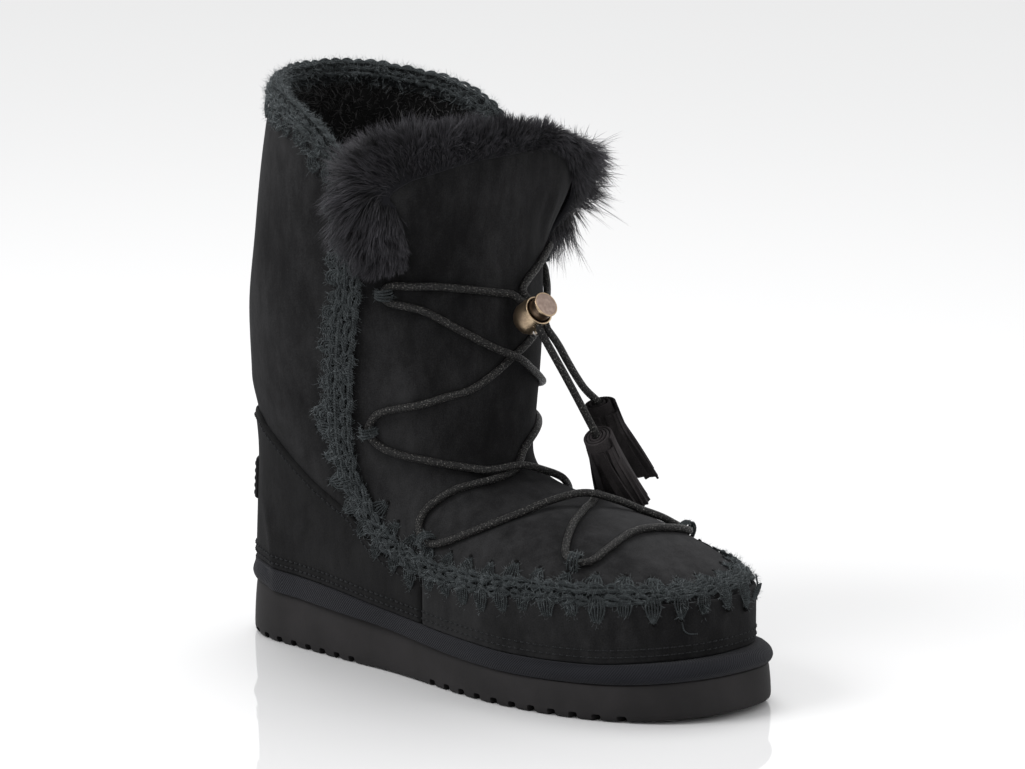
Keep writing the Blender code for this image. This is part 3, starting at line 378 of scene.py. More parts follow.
def sole_field(points):
    """Negative inside the plan outline of the sole, positive outside."""
    x = points[..., 0]
    half = 39.3 + 3.7 * smooth((x + 17.0) / 75.0) + 10.0 * smooth((x - 58.0) / 90.0)
    half = half * (1.0 - np.clip(-x / 42.0, 0.0, 1.0)**2.2)**(1.0 / 2.2)
    half = half * (1.0 - np.clip((x - 143.5) / 93.0, 0.0, 1.0)**2.45)**(1.0 / 2.45)
    return np.maximum(np.abs(points[..., 1] - inswing(x)) - half, np.maximum(-42.0 - x, x - 236.5))


# %% Asking the field for places and directions
def cast(start, way, field=upper_field, reach=110.0, step=4.0):
    """First crossing of a field's zero from points inside it."""
    low = np.zeros(start.shape[:-1])
    high = np.full(start.shape[:-1], reach)
    found = np.zeros(start.shape[:-1], bool)
    for far in np.arange(step, reach + step, step):
        hit = (field(start + way * far) > 0) & ~found
        low, high = np.where(hit, far - step, low), np.where(hit, far, high)
        found |= hit
    for _ in range(16):
        mid = (low + high) / 2
        out = field(start + way * mid[..., None]) > 0
        low, high = np.where(out, low, mid), np.where(out, mid, high)
    return start + way * ((low + high) / 2)[..., None]


def unit(vectors):
    return vectors / np.maximum(np.linalg.norm(vectors, axis=-1, keepdims=True), 1e-9)


def slope_at(points):
    return np.stack([upper_field(points + 0.5 * axis) - upper_field(points - 0.5 * axis)
                     for axis in np.eye(3)], -1)


def normal_at(points):
    return unit(slope_at(points))


def lifted(points, lift):
    return points + normal_at(points) * np.broadcast_to(np.asarray(lift, float), points.shape[:-1])[..., None]


def settle(points, lift=0.0):
    """Points moved onto the suede, then lifted off it."""
    points = np.array(points, float)
    for _ in range(6):
        slope = slope_at(points)
        size = np.maximum((slope**2).sum(-1), 0.05)
        points = points - slope * (upper_field(points) / size)[..., None]
    return lifted(points, lift)


def on_upper(ring, turn, lift=0.0):
    """A point of the upper by ring from the sole up and turn from the toe in radians."""
    ring, turn = np.broadcast_arrays(np.asarray(ring, float), np.asarray(turn, float))
    rear, toe_x, toe_z = (read(RINGS, ring, column) for column in (1, 2, 3))
    start = np.stack([np.full_like(rear, -40.0), rear], -1)
    end = np.stack([toe_x, toe_z], -1)
    way = end - start
    length = np.linalg.norm(way, axis=-1, keepdims=True)
    way = way / length
    shaft = smooth((ring - 9.0) / 3.0)[..., None]
    nose = (45.0 - 31.0 * smooth((ring - 4.0) / 3.0))[..., None]
    inner_back = start + way * ((1 - shaft) * 40.0 + shaft * length / 2)
    inner_front = end - way * ((1 - shaft) * nose + shaft * length / 2)
    middle = inner_back + (inner_front - inner_back) * (0.5 + 0.5 * np.cos(turn))[..., None]
    level = (RINGS[-1][1] + RINGS[-1][3]) / 2 + (RINGS[-1][3] - RINGS[-1][1]) / 2 * np.cos(turn)
    turned = np.degrees(np.mod(turn + np.pi, 2 * np.pi) - np.pi)
    rim = np.where(turned < 0, read(COLLAR, np.abs(turned), 1), read(COLLAR, np.abs(turned), 2))
    rise = smooth((ring - 11.5) / 4.5) * (rim - level)
    origin = np.stack([middle[..., 0], inswing(middle[..., 0]), middle[..., 1] + rise], -1)
    ray = np.stack([way[..., 0] * np.cos(turn), np.sin(turn), way[..., 1] * np.cos(turn)], -1)
    points = cast(origin, ray)
    foot = np.clip(1.0 - ring, 0.0, 1.0)
    points[..., 2] += foot * (read(SOLE_SIDE, points[..., 0], 2) + 0.3 - points[..., 2])
    return lifted(points, lift)


def spokes(stations, height):
    """Start points on the middle line and level directions of rows of x and turn in degrees."""
    x = stations[:, 0]
    start = np.stack([x, inswing(x), np.broadcast_to(height, x.shape)], -1)
    turn = np.radians(stations[:, 1])
    return start, np.stack([np.cos(turn), np.sin(turn), np.zeros_like(turn)], -1)


def upper_at(stations, height, lift=0.0):
    return lifted(cast(*spokes(stations, height)), lift)


def along(points, spacing):
    """Points at equal steps along a smooth curve through a few given points."""
    points = np.asarray(points, float)
    padded = np.concatenate([[2 * points[0] - points[1]], points, [2 * points[-1] - points[-2]]])
    fine = []
    for before, start, end, after in zip(padded, padded[1:], padded[2:], padded[3:]):
        t = np.linspace(0.0, 1.0, 12, endpoint=False)[:, None]
        fine.append(0.5 * (2 * start + (end - before) * t + (2 * before - 5 * start + 4 * end - after) * t**2
                           + (3 * start - before - 3 * end + after) * t**3))
    fine = np.concatenate(fine + [points[-1:]])
    length = length_of(fine)
    steps = max(int(round(length[-1] / spacing)), 2)
    at = np.linspace(0.0, length[-1], steps + 1)
    return np.stack([np.interp(at, length, fine[:, axis]) for axis in range(3)], -1)


def length_of(path):
    return np.concatenate([[0.0], np.cumsum(np.linalg.norm(np.diff(path, axis=0), axis=1))])


# %% [markdown]
# ## Turning points into meshes
# Almost every piece here is a grid of points: rows along a path, columns round a section. A small class gathers
# grids and round rods, keeps a UV map in real millimetres for the weave and the twist, and makes one mesh.


# %% Mesh class
def face_outwards(mesh, weld=False, dissolve=False):
    """Turns the faces outwards, after joining the points that coincide where weld is set."""
    work = bmesh.new()
    work.from_mesh(mesh)
    if weld:
        bmesh.ops.remove_doubles(work, verts=work.verts, dist=WELD_DISTANCE)
    if dissolve:
        bmesh.ops.dissolve_degenerate(work, edges=work.edges, dist=WELD_DISTANCE)
    bmesh.ops.recalc_face_normals(work, faces=work.faces)
    work.to_mesh(mesh)
    work.free()


class Shape:
    """Grids of points, gathered before they become one mesh."""

    def __init__(self):
        self.points, self.faces, self.uv, self.count = [], [], [], 0

    def grid(self, points, closed=False, ring=False, caps=False):
        """closed joins the last column to the first, and ring the last row to the first."""
        points = np.asarray(points, float)
        rows, columns = points.shape[:2]
        index = np.arange(rows * columns).reshape(rows, columns)
        turned = np.vstack([index, index[:1]]) if ring else index
        turned = np.hstack([turned, turned[:, :1]]) if closed else turned
        round_row = np.vstack([points, points[:1]]) if ring else points
        whole = np.hstack([round_row, round_row[:, :1]]) if closed else round_row
        u = np.zeros(whole.shape[:2])
        u[:, 1:] = np.cumsum(np.linalg.norm(np.diff(whole, axis=1), axis=2), axis=1)
        v = np.zeros(whole.shape[:2])
        v[1:] = np.cumsum(np.linalg.norm(np.diff(whole, axis=0), axis=2), axis=0)
        if closed:
            u[:] = u.mean(0)
            v[:] = v.mean(1)[:, None]
        grid_uv = np.stack([u, v], -1)
        here, ahead = slice(None, -1), slice(1, None)
        corners = (here, here), (here, ahead), (ahead, ahead), (ahead, here)
        faces = np.stack([turned[corner] for corner in corners], -1).reshape(-1, 4) + self.count
        self.faces += faces.tolist()
        self.uv.append(np.stack([grid_uv[corner] for corner in corners], 2).reshape(-1, 2))
        if caps:
            for row in (index[0], index[-1]):
                self.faces.append((row + self.count).tolist())
                self.uv.append(np.zeros((len(row), 2)))
        self.points.append(points.reshape(-1, 3))
        self.count += rows * columns
        return self

    def rod(self, path, radius, sides=8, caps=True):
        """Round bar along a path; radius is one number or one for each point."""
        path = np.asarray(path, float)
        radius = np.broadcast_to(radius, len(path))
        ahead = unit(np.gradient(path, axis=0))
        across = np.cross(ahead[0], (0.31, 0.22, 0.93))
        turns = 2 * np.pi * np.arange(sides) / sides
        rows = []
        for point, way, size in zip(path, ahead, radius):
            across = unit(across - way * (across @ way))
            around = np.outer(np.cos(turns), across) + np.outer(np.sin(turns), np.cross(way, across))
            rows.append(point + size * around)
        return self.grid(rows, closed=True, caps=caps)

    def build(self, name, finish, slot, replaces=(), sharp=None):
        return dress(self.plain(name, finish, sharp), "boot", replaces)

    def plain(self, name, finish=None, sharp=None):
        mesh = bpy.data.meshes.new(name)
        mesh.from_pydata((np.concatenate(self.points) * MM).tolist(), [], self.faces)
        layer = mesh.uv_layers.new(name="UVMap")
        layer.data.foreach_set("uv", np.concatenate(self.uv).ravel())
        face_outwards(mesh)
        mesh.shade_smooth()
        if sharp:
            mesh.set_sharp_from_angle(angle=math.radians(sharp))
        if finish:
            mesh.materials.append(finish)
        return add_object(name, mesh)


def dress(made, body="boot", replaces=()):
    """Gives a finished piece its body and the solids that it stands for."""
    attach(made, body)
    if replaces:
        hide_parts(*replaces)
    made.data.calc_loop_triangles()
    print(made.name, len(made.data.loop_triangles), "triangles")
    return made


# %% [markdown]
# ## Finishes
# Nearly everything is black, so the finishes differ in how they take the light. Suede has a nap that drinks it
# and shows paler where it was brushed the other way; its darker copy on the heel is partly painted shade. Yarn is
# a little blue-green and furry, with a near-black core of painted shade, fuzz whose pale tips are painted
# highlight, and dark spots of painted shade at its holes. The lace is waxed leather with painted glints on its
# grain. Rubber is a warm matt grey, and the lock is old brass with a dark patina.


# %% Suede and leather
def suede(name, dark, light, patch=1.0):
    """Napped leather: brushed patches, fine grain and a soft sheen."""
    made = Finish(name, roughness=0.95, specular_ior_level=0.08, sheen_weight=0.05, sheen_roughness=0.5,
                  sheen_tint=(0.5, 0.5, 0.53, 1.0))
    brushed = made.noise(24.0, 4.0, 0.62, stretch=(1.0, 1.0, 0.55))
    marks = made.noise(150.0, 4.0, 0.65, stretch=(1.0, 1.0, 0.45))
    grain = made.noise(2100.0, 2.0, 0.7)
    cloud = made.noise(11.0, 2.0, 0.5, stretch=(1.0, 1.0, 0.7))
    tone = cloud * 0.35 * patch + brushed * 0.5 + marks * 0.34 + grain * 0.4
    tone = tone.above(0.52 + 0.1 * patch, 0.84 + 0.22 * patch)
    made.feed("Base Color", made.blend(dark, light, tone))
    made.bump(grain * 0.6 + marks, 0.0004, 0.6)
    return made.material


UPPER_SUEDE = suede("suede_upper", (0.0034, 0.0034, 0.0036), (0.022, 0.022, 0.0227))
# Heel counter and heel tab: a separate piece of suede, made darker still as painted shade over the heel.
SHADED_COUNTER_SUEDE = suede("suede_counter_shaded", (0.003, 0.003, 0.0031), (0.0115, 0.0115, 0.0118), 0.6)
OVERLAY_SUEDE = suede("suede_overlay", (0.0045, 0.0045, 0.0047), (0.019, 0.019, 0.0196), 0.6)
TASSEL_LEATHER = suede("suede_strip", (0.009, 0.008, 0.0082), (0.04, 0.0355, 0.0365), 0.5)


def lace_leather():
    """Round waxed leather: dark, with a painted highlight of fine bright specks on the grain, which is also
    smoother there.
    """
    made = Finish("waxed_lace", specular_ior_level=0.2)
    uv = made.where("UV")
    grain = made.noise(1.7, 3.0, 0.7, at=uv, stretch=(2.0, 1.0, 1.0))
    glint = made.noise(1.2, 2.0, 0.6, at=uv).above(0.5, 0.62)
    # Painted highlight: the glint specks lift the base colour to pale grey; the lower roughness and the bump there
    # are real.
    made.feed("Base Color",
              made.blend((0.0045, 0.0044, 0.0045), (0.32, 0.31, 0.29), glint * grain.above(0.5, 0.68)))
    made.feed("Roughness", 0.6 - glint * 0.3)
    made.bump(grain + glint * 0.5, 0.00045, 0.7)
    return made.material


LACE = lace_leather()


# %% Rubber, twill, yarn, fur, lining, thread and brass
def rubber():
    made = Finish("sole_rubber", specular_ior_level=0.2)
    dust, fine = made.noise(35.0, 4.0), made.noise(900.0, 2.0)
    made.feed("Base Color",
              made.blend((0.0075, 0.0068, 0.0072), (0.0155, 0.0141, 0.0148), dust.above(0.3, 0.75)))
    made.feed("Roughness", 0.55 + dust * 0.25)
    made.bump(fine + dust * 2.0, 0.00012, 0.5)
    return made.material


def twill():
    """Diagonal ribs of a woven tape, about 1 mm apart, from the UV map in millimetres."""
    made = Finish("welt_twill", roughness=0.85, specular_ior_level=0.12, sheen_weight=0.05,
                  sheen_roughness=0.5)
    parts = made.add("ShaderNodeSeparateXYZ", None, {"Vector": made.where("UV")})
    rib = ((parts["X"] * 0.8 + parts["Y"]) * 5.0).sine() * 0.5 + 0.5
    thread = ((parts["X"] - parts["Y"] * 0.7) * 9.0).sine() * 0.5 + 0.5
    worn = made.noise(60.0, 3.0)
    made.feed("Base Color",
              made.blend((0.0035, 0.0037, 0.005), (0.0125, 0.0131, 0.0172),
                         rib * 0.5 + thread * 0.15 + worn * 0.4))
    made.bump(rib + thread * 0.4, 0.00025, 0.9)
    return made.material


def wool(name, dark, light, mottle=0.7):
    """Yarn: plies twisted round the strand, and paler hairs here and there."""
    made = Finish(name, roughness=0.9, specular_ior_level=0.1, sheen_weight=0.08, sheen_roughness=0.5,
                  sheen_tint=(0.55, 0.62, 0.65, 1.0))
    parts = made.add("ShaderNodeSeparateXYZ", None, {"Vector": made.where("UV")})
    ply = ((parts["X"] * 2.4 + parts["Y"] * 2.2) * 3.0).sine() * 0.5 + 0.5
    hairs, dye = made.noise(900.0, 3.0, 0.7), made.noise(120.0, 3.0)
    tone = (ply * 0.3 + hairs * 0.45 + dye * mottle * 0.6).above(0.3, 0.95)
    made.feed("Base Color", made.blend(dark, light, tone))
    made.bump(ply + hairs * 0.6, 0.0002, 0.7)
    return made.material


def hair(name, root, tip, power=1.0):
    """Hair: dark at the root, paler to the tip, in soft patches."""
    made = Finish(name, roughness=0.6, specular_ior_level=0.2)
    length = made.add("ShaderNodeAttribute", {"attribute_name": "t"})["Fac"]
    patch = made.noise(70.0, 2.0)
    made.feed("Base Color", made.blend(root, tip, length ** power * 0.7 + patch.above(0.35, 0.7) * 0.3))
    return made.material


def brass():
    """Antique brass: rubbed bright on the round parts, with a soft brown patina."""
    made = Finish("antique_brass", metallic=1.0)
    cloud, speck = made.noise(75.0, 3.0, 0.55), made.noise(1500.0, 3.0)
    worn = (cloud * 0.9 + speck * 0.2).above(0.4, 0.68)
    made.feed("Base Color", made.blend((0.62, 0.48, 0.32), (0.27, 0.2, 0.14), worn))
    made.feed("Roughness", 0.26 + worn * 0.16)
    made.bump(speck, 0.00004, 0.4)
    return made.material


def patina(name, low, high, roughness):
    """Brass that has gone dark, with small worn spots."""
    made = Finish(name, metallic=1.0)
    speck = made.noise(420.0, 3.0)
    made.feed("Base Color", made.blend(low, high, speck.above(0.35, 0.7)))
    made.feed("Roughness", roughness + speck * 0.2)
    return made.material


RUBBER, TWILL, BRASS = rubber(), twill(), brass()
BUTTON_NECK = patina("button_neck", (0.1, 0.07, 0.05), (0.18, 0.13, 0.094), 0.3)
BUTTON_FACE = patina("button_face", (0.24, 0.18, 0.15), (0.34, 0.265, 0.225), 0.4)
BUTTON_EDGE = patina("button_edge", (0.5, 0.38, 0.25), (0.34, 0.24, 0.16), 0.22)
NICKEL = patina("nickel_ring", (0.6, 0.58, 0.55), (0.42, 0.4, 0.38), 0.2)
YARN = wool("crochet_yarn", (0.004, 0.0047, 0.005), (0.048, 0.0545, 0.057))
# Painted shade: near-black yarn for the cores under the seam and braid chains, where the gaps between strands fall
# in shade.
YARN_SHADE = wool("yarn_core_shade", (0.002, 0.0023, 0.0025), (0.007, 0.008, 0.0085))
# Painted highlight: the fuzz tips are far paler than the yarn, to show the light on the fine fibres.
FUZZ = hair("yarn_fuzz_highlight", (0.014, 0.0161, 0.017), (0.21, 0.236, 0.246))
FUR_HAIR = hair("fur_hair", (0.0024, 0.0023, 0.0027), (0.062, 0.06, 0.068), 1.6)
FUR_SKIN = suede("fur_undercoat", (0.004, 0.004, 0.005), (0.012, 0.012, 0.014))
PILE = hair("lining_pile", (0.006, 0.006, 0.006), (0.07, 0.069, 0.07))
LINING = suede("lining_skin", (0.004, 0.004, 0.004), (0.012, 0.012, 0.012))
THREAD = wool("sewing_thread", (0.008, 0.008, 0.0086), (0.034, 0.034, 0.036), 0.2)
# Painted shade: near-black suede for the spots that stand for the dark punched holes.
HOLE_SHADE = suede("punched_hole_shade", (0.002, 0.002, 0.002), (0.004, 0.004, 0.004))

# %% [markdown]
# ## Geometry Nodes helpers
# Stitches, yarn links and hairs repeat hundreds of times along a path or over a surface. One small node tree
# places copies along a path, and another grows hair from a surface. The class below builds such a tree with
# named inputs, runs it once, and keeps the result as a plain mesh.


# %% Tree class
class Tree(Nodes):
    """A geometry node tree with named inputs."""

    def __init__(self, name, **inputs):
        self.group = bpy.data.node_groups.new(name, "GeometryNodeTree")
        super().__init__(self.group)
        self.group.interface.new_socket("Geometry", in_out="OUTPUT", socket_type="NodeSocketGeometry")
        self.group.interface.new_socket("Geometry", in_out="INPUT", socket_type="NodeSocketGeometry")
        self.label = {}
        for label, kind in inputs.items():
            made = self.group.interface.new_socket(label, in_out="INPUT", socket_type="NodeSocket" + kind)
            self.label[label] = made.identifier
        self.given = self.add("NodeGroupInput")

    def read(self, name, kind="FLOAT_VECTOR"):
        return self.add("GeometryNodeInputNamedAttribute", {"data_type": kind}, {"Name": name})["Attribute"]

    def vector(self, operation, *items, scale=None):
        node = self.tree.nodes.new("ShaderNodeVectorMath")
        node.operation = operation
        for place, item in zip(node.inputs, items):
            give(place, item)
        if scale is not None:
            give(node.inputs["Scale"], scale)
        return Value(node.outputs[0])

    def chance(self, low, high, seed):
        return self.add("FunctionNodeRandomValue", {"data_type": "FLOAT"},
                        {"Min": low, "Max": high, "Seed": seed})["Value"]

    def turned(self, rotation, angle):
        """A rotation turned further round its own Z."""
        around = self.add("ShaderNodeCombineXYZ", None, {"Z": angle})["Vector"]
        euler = self.add("FunctionNodeEulerToRotation", None, {"Euler": around})["Rotation"]
        return self.add("FunctionNodeRotateRotation", {"rotation_space": "LOCAL"},
                        {"Rotation": rotation, "Rotate By": euler})["Rotation"]

    def instances(self, points, link, rotation, scale):
        shape = self.add("GeometryNodeObjectInfo", None, {"Object": link})["Geometry"]
        return self.add("GeometryNodeInstanceOnPoints", None, {"Points": points, "Instance": shape,
                                                               "Rotation": rotation, "Scale": scale})["Instances"]

    def close(self, geometry):
        """Ends the tree with plain geometry and its material."""
        real = self.add("GeometryNodeRealizeInstances", None, {"Geometry": geometry})["Geometry"]
        done = self.add("GeometryNodeSetMaterial", None, {"Geometry": real, "Material": self.given["Finish"]})
        self.add("NodeGroupOutput", None, {"Geometry": done["Geometry"]})
        return self

    def run(self, name, source, **values):
        """Runs the tree on an object that it then removes, and returns a plain mesh object."""
        modifier = source.modifiers.new("made", "NODES")
        modifier.node_group = self.group
        for label, value in values.items():
            modifier[self.label[label]] = value
        return flatten(source, name)


def flatten(source, name):
    """The evaluated object as a plain mesh, in place of its source."""
    seen = source.evaluated_get(bpy.context.evaluated_depsgraph_get())
    mesh = bpy.data.meshes.new_from_object(seen)
    mesh.name = name
    bpy.data.objects.remove(source)
    made = add_object(name, mesh)
    if mesh.uv_layers:
        mesh.uv_layers[0].active = True
        mesh.uv_layers[0].active_render = True
    return made


def store(mesh, **columns):
    """Keeps a number or a vector at each point of a mesh, under a name."""
    for label, values in columns.items():
        values = np.asarray(values, float)
        kind, field = ("FLOAT_VECTOR", "vector") if values.ndim > 1 else ("FLOAT", "value")
        mesh.attributes.new(label, kind, "POINT").data.foreach_set(field, values.ravel())


def path_tree():
    """Copies of one link along a line: its X runs along the line and its Z stands off the surface."""
    tree = Tree("Copies along a path", Pitch="Float", Turn="Float", Uneven="Float", Seed="Int", Link="Object",
                Finish="Material")
    given = tree.given
    line = tree.add("GeometryNodeMeshToCurve", None, {"Mesh": given["Geometry"]})["Curve"]
    even = tree.add("GeometryNodeResampleCurve", {"mode": "LENGTH"},
                    {"Curve": line, "Length": given["Pitch"]})["Curve"]
    ahead = tree.add("FunctionNodeAlignRotationToVector", {"axis": "X"}, {"Vector": tree.read("ahead")})["Rotation"]
    upright = tree.add("FunctionNodeAlignRotationToVector", {"axis": "Z", "pivot_axis": "X"},
                       {"Rotation": ahead, "Vector": tree.read("up")})["Rotation"]
    swung = tree.turned(upright, tree.chance(-1.0, 1.0, given["Seed"]) * given["Turn"])
    size = tree.read("size", "FLOAT") * (tree.chance(-1.0, 1.0, given["Seed"] + 7.0) * given["Uneven"] + 1.0)
    return tree.close(tree.instances(even, given["Link"], swung, size))


def hair_tree():
    """Strands on a surface that lie along its comb direction, gather in clumps and bend to their tips."""
    tree = Tree("Hair on a surface", Density="Float", Width="Float", Spread="Float", Clump="Float",
                Clump_Size="Float", Droop="Float", Seed="Int", Strand="Object", Finish="Material")
    given = tree.given
    dots = tree.add("GeometryNodeDistributePointsOnFaces", None,
                    {"Mesh": given["Geometry"], "Density": given["Density"], "Seed": given["Seed"]})["Points"]
    place = tree.add("GeometryNodeInputPosition")["Position"]
    dots = tree.add("GeometryNodeStoreNamedAttribute", {"data_type": "FLOAT_VECTOR"},
                    {"Geometry": dots, "Name": "root", "Value": place})["Geometry"]
    stray = tree.add("FunctionNodeRandomValue", {"data_type": "FLOAT_VECTOR"},
                     {"Min": (-1.0, -1.0, -1.0), "Max": (1.0, 1.0, 1.0), "Seed": given["Seed"]})["Value"]
    way = tree.vector("ADD", tree.read("comb"), tree.vector("SCALE", stray, scale=given["Spread"]))
    stand = tree.add("FunctionNodeAlignRotationToVector", {"axis": "Z"}, {"Vector": way})["Rotation"]
    stand = tree.turned(stand, tree.chance(0.0, 6.283, given["Seed"] + 3.0))
    length = tree.read("length", "FLOAT") * tree.chance(0.6, 1.1, given["Seed"] + 5.0)
    size = tree.add("ShaderNodeCombineXYZ", None, {"X": given["Width"], "Y": given["Width"], "Z": length})["Vector"]
    grown = tree.instances(dots, given["Strand"], stand, size)
    real = tree.add("GeometryNodeRealizeInstances", None, {"Geometry": grown})["Geometry"]
    cloud = tree.add("ShaderNodeTexNoise", None, {"Vector": tree.read("root"), "Scale": given["Clump_Size"],
                                                  "Detail": 1.5})["Color"]
    lean = tree.vector("SUBTRACT", cloud, (0.5, 0.5, 0.5))
    bend = tree.read("t", "FLOAT") ** 1.7 * tree.read("length", "FLOAT")
    shift = tree.vector("SCALE", lean, scale=bend * given["Clump"])
    fall = tree.vector("SCALE", tree.read("fall"), scale=bend * given["Droop"])
    offset = tree.vector("ADD", shift, fall)
    return tree.close(tree.add("GeometryNodeSetPosition", None, {"Geometry": real, "Offset": offset})["Geometry"])


PATH_TREE, HAIR_TREE = path_tree(), hair_tree()


def copies(name, points, up, link, finish, pitch, ahead=None, size=1.0, turn=0.0, uneven=0.0, seed=1):
    """Plain mesh of one link repeated along a line of points in millimetres."""
    mesh = bpy.data.meshes.new(name + "_line")
    mesh.from_pydata((points * MM).tolist(), [(at, at + 1) for at in range(len(points) - 1)], [])
    ahead = unit(np.gradient(points, axis=0)) if ahead is None else ahead
    store(mesh, up=up, ahead=ahead, size=np.broadcast_to(size, len(points)))
    return PATH_TREE.run(name, add_object(name + "_line", mesh), Pitch=pitch * MM, Turn=turn, Uneven=uneven,
                         Seed=seed, Link=link, Finish=finish)


def tuft(name, strands, spread, steps=4):
    """A few flat tapering ribbons from one root, one unit tall, with their place from root to tip as t."""
    points, faces, along_it = [], [], []
    for strand in range(strands):
        turn = 2.4 * strand
        lean = spread * (0.35 + 0.65 * strand / max(strands - 1, 1)) if strands > 1 else 0.0
        across = np.array([math.cos(turn + 1.2), math.sin(turn + 1.2), 0.0])
        away = np.array([math.cos(turn), math.sin(turn), 0.0])
        first = len(points)
        for step in range(steps):
            t = step / steps
            middle = away * (0.25 * strand + lean * t**1.5) + np.array([0, 0, t * (1.0 - 0.08 * strand)])
            half = across * 0.5 * (1.0 - 0.6 * t)
            points += [middle - half, middle + half]
            along_it += [t, t]
        points.append(away * (0.25 * strand + lean) + np.array([0, 0, 1.0 - 0.08 * strand]))
        along_it.append(1.0)
        for step in range(steps - 1):
            at = first + 2 * step
            faces.append((at, at + 1, at + 3, at + 2))
        faces.append((first + 2 * steps - 2, first + 2 * steps - 1, first + 2 * steps))
    mesh = bpy.data.meshes.new(name)
    mesh.from_pydata([tuple(point) for point in points], [], faces)
    store(mesh, t=along_it)
    mesh.shade_smooth()
    return add_object(name, mesh)


def grow(name, skin, comb, length, fall, finish, strand, **values):
    """Plain mesh of hair on a copy of a surface; comb, length and fall hold one row for each of its points."""
    base = add_object(name + "_skin", skin.data.copy())
    store(base.data, comb=comb, fall=fall, length=length * MM)
    return HAIR_TREE.run(name, base, Strand=strand, Finish=finish, **values)


def at_points(piece, field):
    """Three numbers for each point of a mesh, such as its place or its normal."""
    flat = np.empty(len(piece.data.vertices) * 3)
    piece.data.vertices.foreach_get(field, flat)
    return flat.reshape(-1, 3)


def spots(piece):
    """The points of a mesh in millimetres."""
    return at_points(piece, "co") / MM


def sweep_forward(piece, side, share):
    """Hair that stands out beyond a distance to the inner side lies forward by a share of it instead."""
    points = spots(piece)
    beyond = np.maximum(points[:, 1] - side, 0.0) * share
    points[:, 0] += beyond
    points[:, 1] -= beyond
    piece.data.vertices.foreach_set("co", (points * MM).ravel())
    piece.data.update()


# %% [markdown]
# ## The cord lock's place
# The lock sits on the front of the shaft and holds the two halves of the lace. Its axis leans forward, so all
# of its parts are drawn upright round their own axis and then put in place by one matrix.

# %% Lock matrix
LOCK_CENTRE = (114.7, 2.2, 161.4)
LOCK_PLACE = (Matrix.Translation(Vector(LOCK_CENTRE) * MM) @ Matrix.Rotation(math.radians(-4.0), 4, "Z")
              @ Matrix.Rotation(math.radians(54.5), 4, "Y"))


def at_lock(sideways, up, out=1.0):
    """A point in millimetres beside the lock: across the boot, above its barrel and along it."""
    return np.array(LOCK_PLACE @ (Vector((-up, sideways, out)) * MM)) / MM


# %% [markdown]
# ## The two hanging cord ends and their tassels
# Both ends of the lace run through the lock, hang freely for about five centimetres and end in a tassel. Each
# end is a limp round cord on one smooth curve. A tassel is a strip of suede, cut into fringes along one edge
# and rolled up, so its head shows a spiral and its fringes fan out below.

# %% Cord routes
CORD_RADIUS = 1.75
CORD_FRONT = ((125.4, 4.0, 148.0), (128.6, 9.2, 137.0), (131.6, 14.8, 125.3), (134.0, 19.6, 115.2),
              (135.6, 23.0, 108.2))
CORD_BACK = ((122.8, 11.2, 149.4), (121.5, 18.9, 140.3), (119.9, 26.9, 131.6), (118.4, 34.4, 124.6),
             (119.2, 41.6, 118.4))
TASSEL_FRONT_FOOT, TASSEL_BACK_FOOT = (128.9, 48.9, 73.4), (116.2, 64.4, 79.4)


def tassel(name, head, foot, form, coils, strips, seed):
    """Rolled suede: a spiral at the head, and below it long cut strips that lie over each other and fan out."""
    chance = np.random.default_rng(seed)
    head, foot = np.array(head), np.array(foot)
    down, length = unit(foot - head), np.linalg.norm(foot - head)
    head_width, head_depth, foot_width, turn = form
    wide = np.array([math.cos(math.radians(turn)), math.sin(math.radians(turn)), 0.0])
    wide = unit(wide - down * (wide @ down))
    deep = np.cross(down, wide)
    shape = Shape()
    neck = 0.3 * length
    turns = np.linspace(0.3, coils, 30 * coils) * 2 * np.pi
    rows = []
    for angle in turns:
        part = (angle - turns[0]) / (turns[-1] - turns[0])
        size = 0.16 + 0.82 * part
        layer = 1.15 / head_width
        rise = 0.5 * math.sin(0.9 * angle) - 1.1 * (1.0 - part)
        section = [(size - layer / 2, rise + 0.1), (size - layer / 4, rise - 0.25),
                   (size + layer / 4, rise - 0.25), (size + layer / 2, rise + 0.1),
                   ((size + layer / 2) * 1.04, neck), (size - layer / 2, neck)]
        rows.append([head + (wide * math.cos(angle) * head_width + deep * math.sin(angle) * head_depth) * out
                     + down * sunk for out, sunk in section])
    shape.grid(rows, closed=True, caps=True)
    for number in range(strips):
        angle = 2 * np.pi * (number * 0.382 + 0.04 * chance.random())
        ring = (1.0, 0.82, 0.55)[number % 3]
        far = 0.93 + 0.1 * chance.random()
        lean, curl = chance.normal(0, 0.16), chance.normal(0, 0.35)
        place, across = [], []
        for t in np.linspace(0.0, 1.0, 10):
            width = np.interp(t, (0, 0.25, 1.0), (head_width * 0.9, head_width * 0.97, foot_width)) * ring
            depth = np.interp(t, (0, 0.25, 1.0), (head_depth * 0.9, head_depth * 0.94, head_depth * 0.72)) * ring
            at = angle + lean * t**2
            drop = neck * 0.35 + (length - neck * 0.35) * far * t
            place.append(head + down * drop + wide * math.cos(at) * width + deep * math.sin(at) * depth)
            side = unit(-wide * math.sin(at) * width + deep * math.cos(at) * depth)
            out = np.cross(side, down)
            roll = curl * t + 0.2 * math.sin(2.4 * t + number)
            across.append(side * math.cos(roll) + out * math.sin(roll))
        rows = []
        for point, side, half in zip(place, across,
                                     np.interp(np.linspace(0, 1, 10), (0, 0.4, 1), (1.7, 2.2, 2.4))):
            thick = np.cross(down, side) * 0.5
            rows.append([point - side * half - thick, point - thick * 1.3, point + side * half - thick,
                         point + side * half + thick, point + thick * 0.7, point - side * half + thick])
        shape.grid(rows, closed=True, caps=True)
    return shape.build(name, TASSEL_LEATHER, "tassel_leather", replaces=(name,), sharp=40)


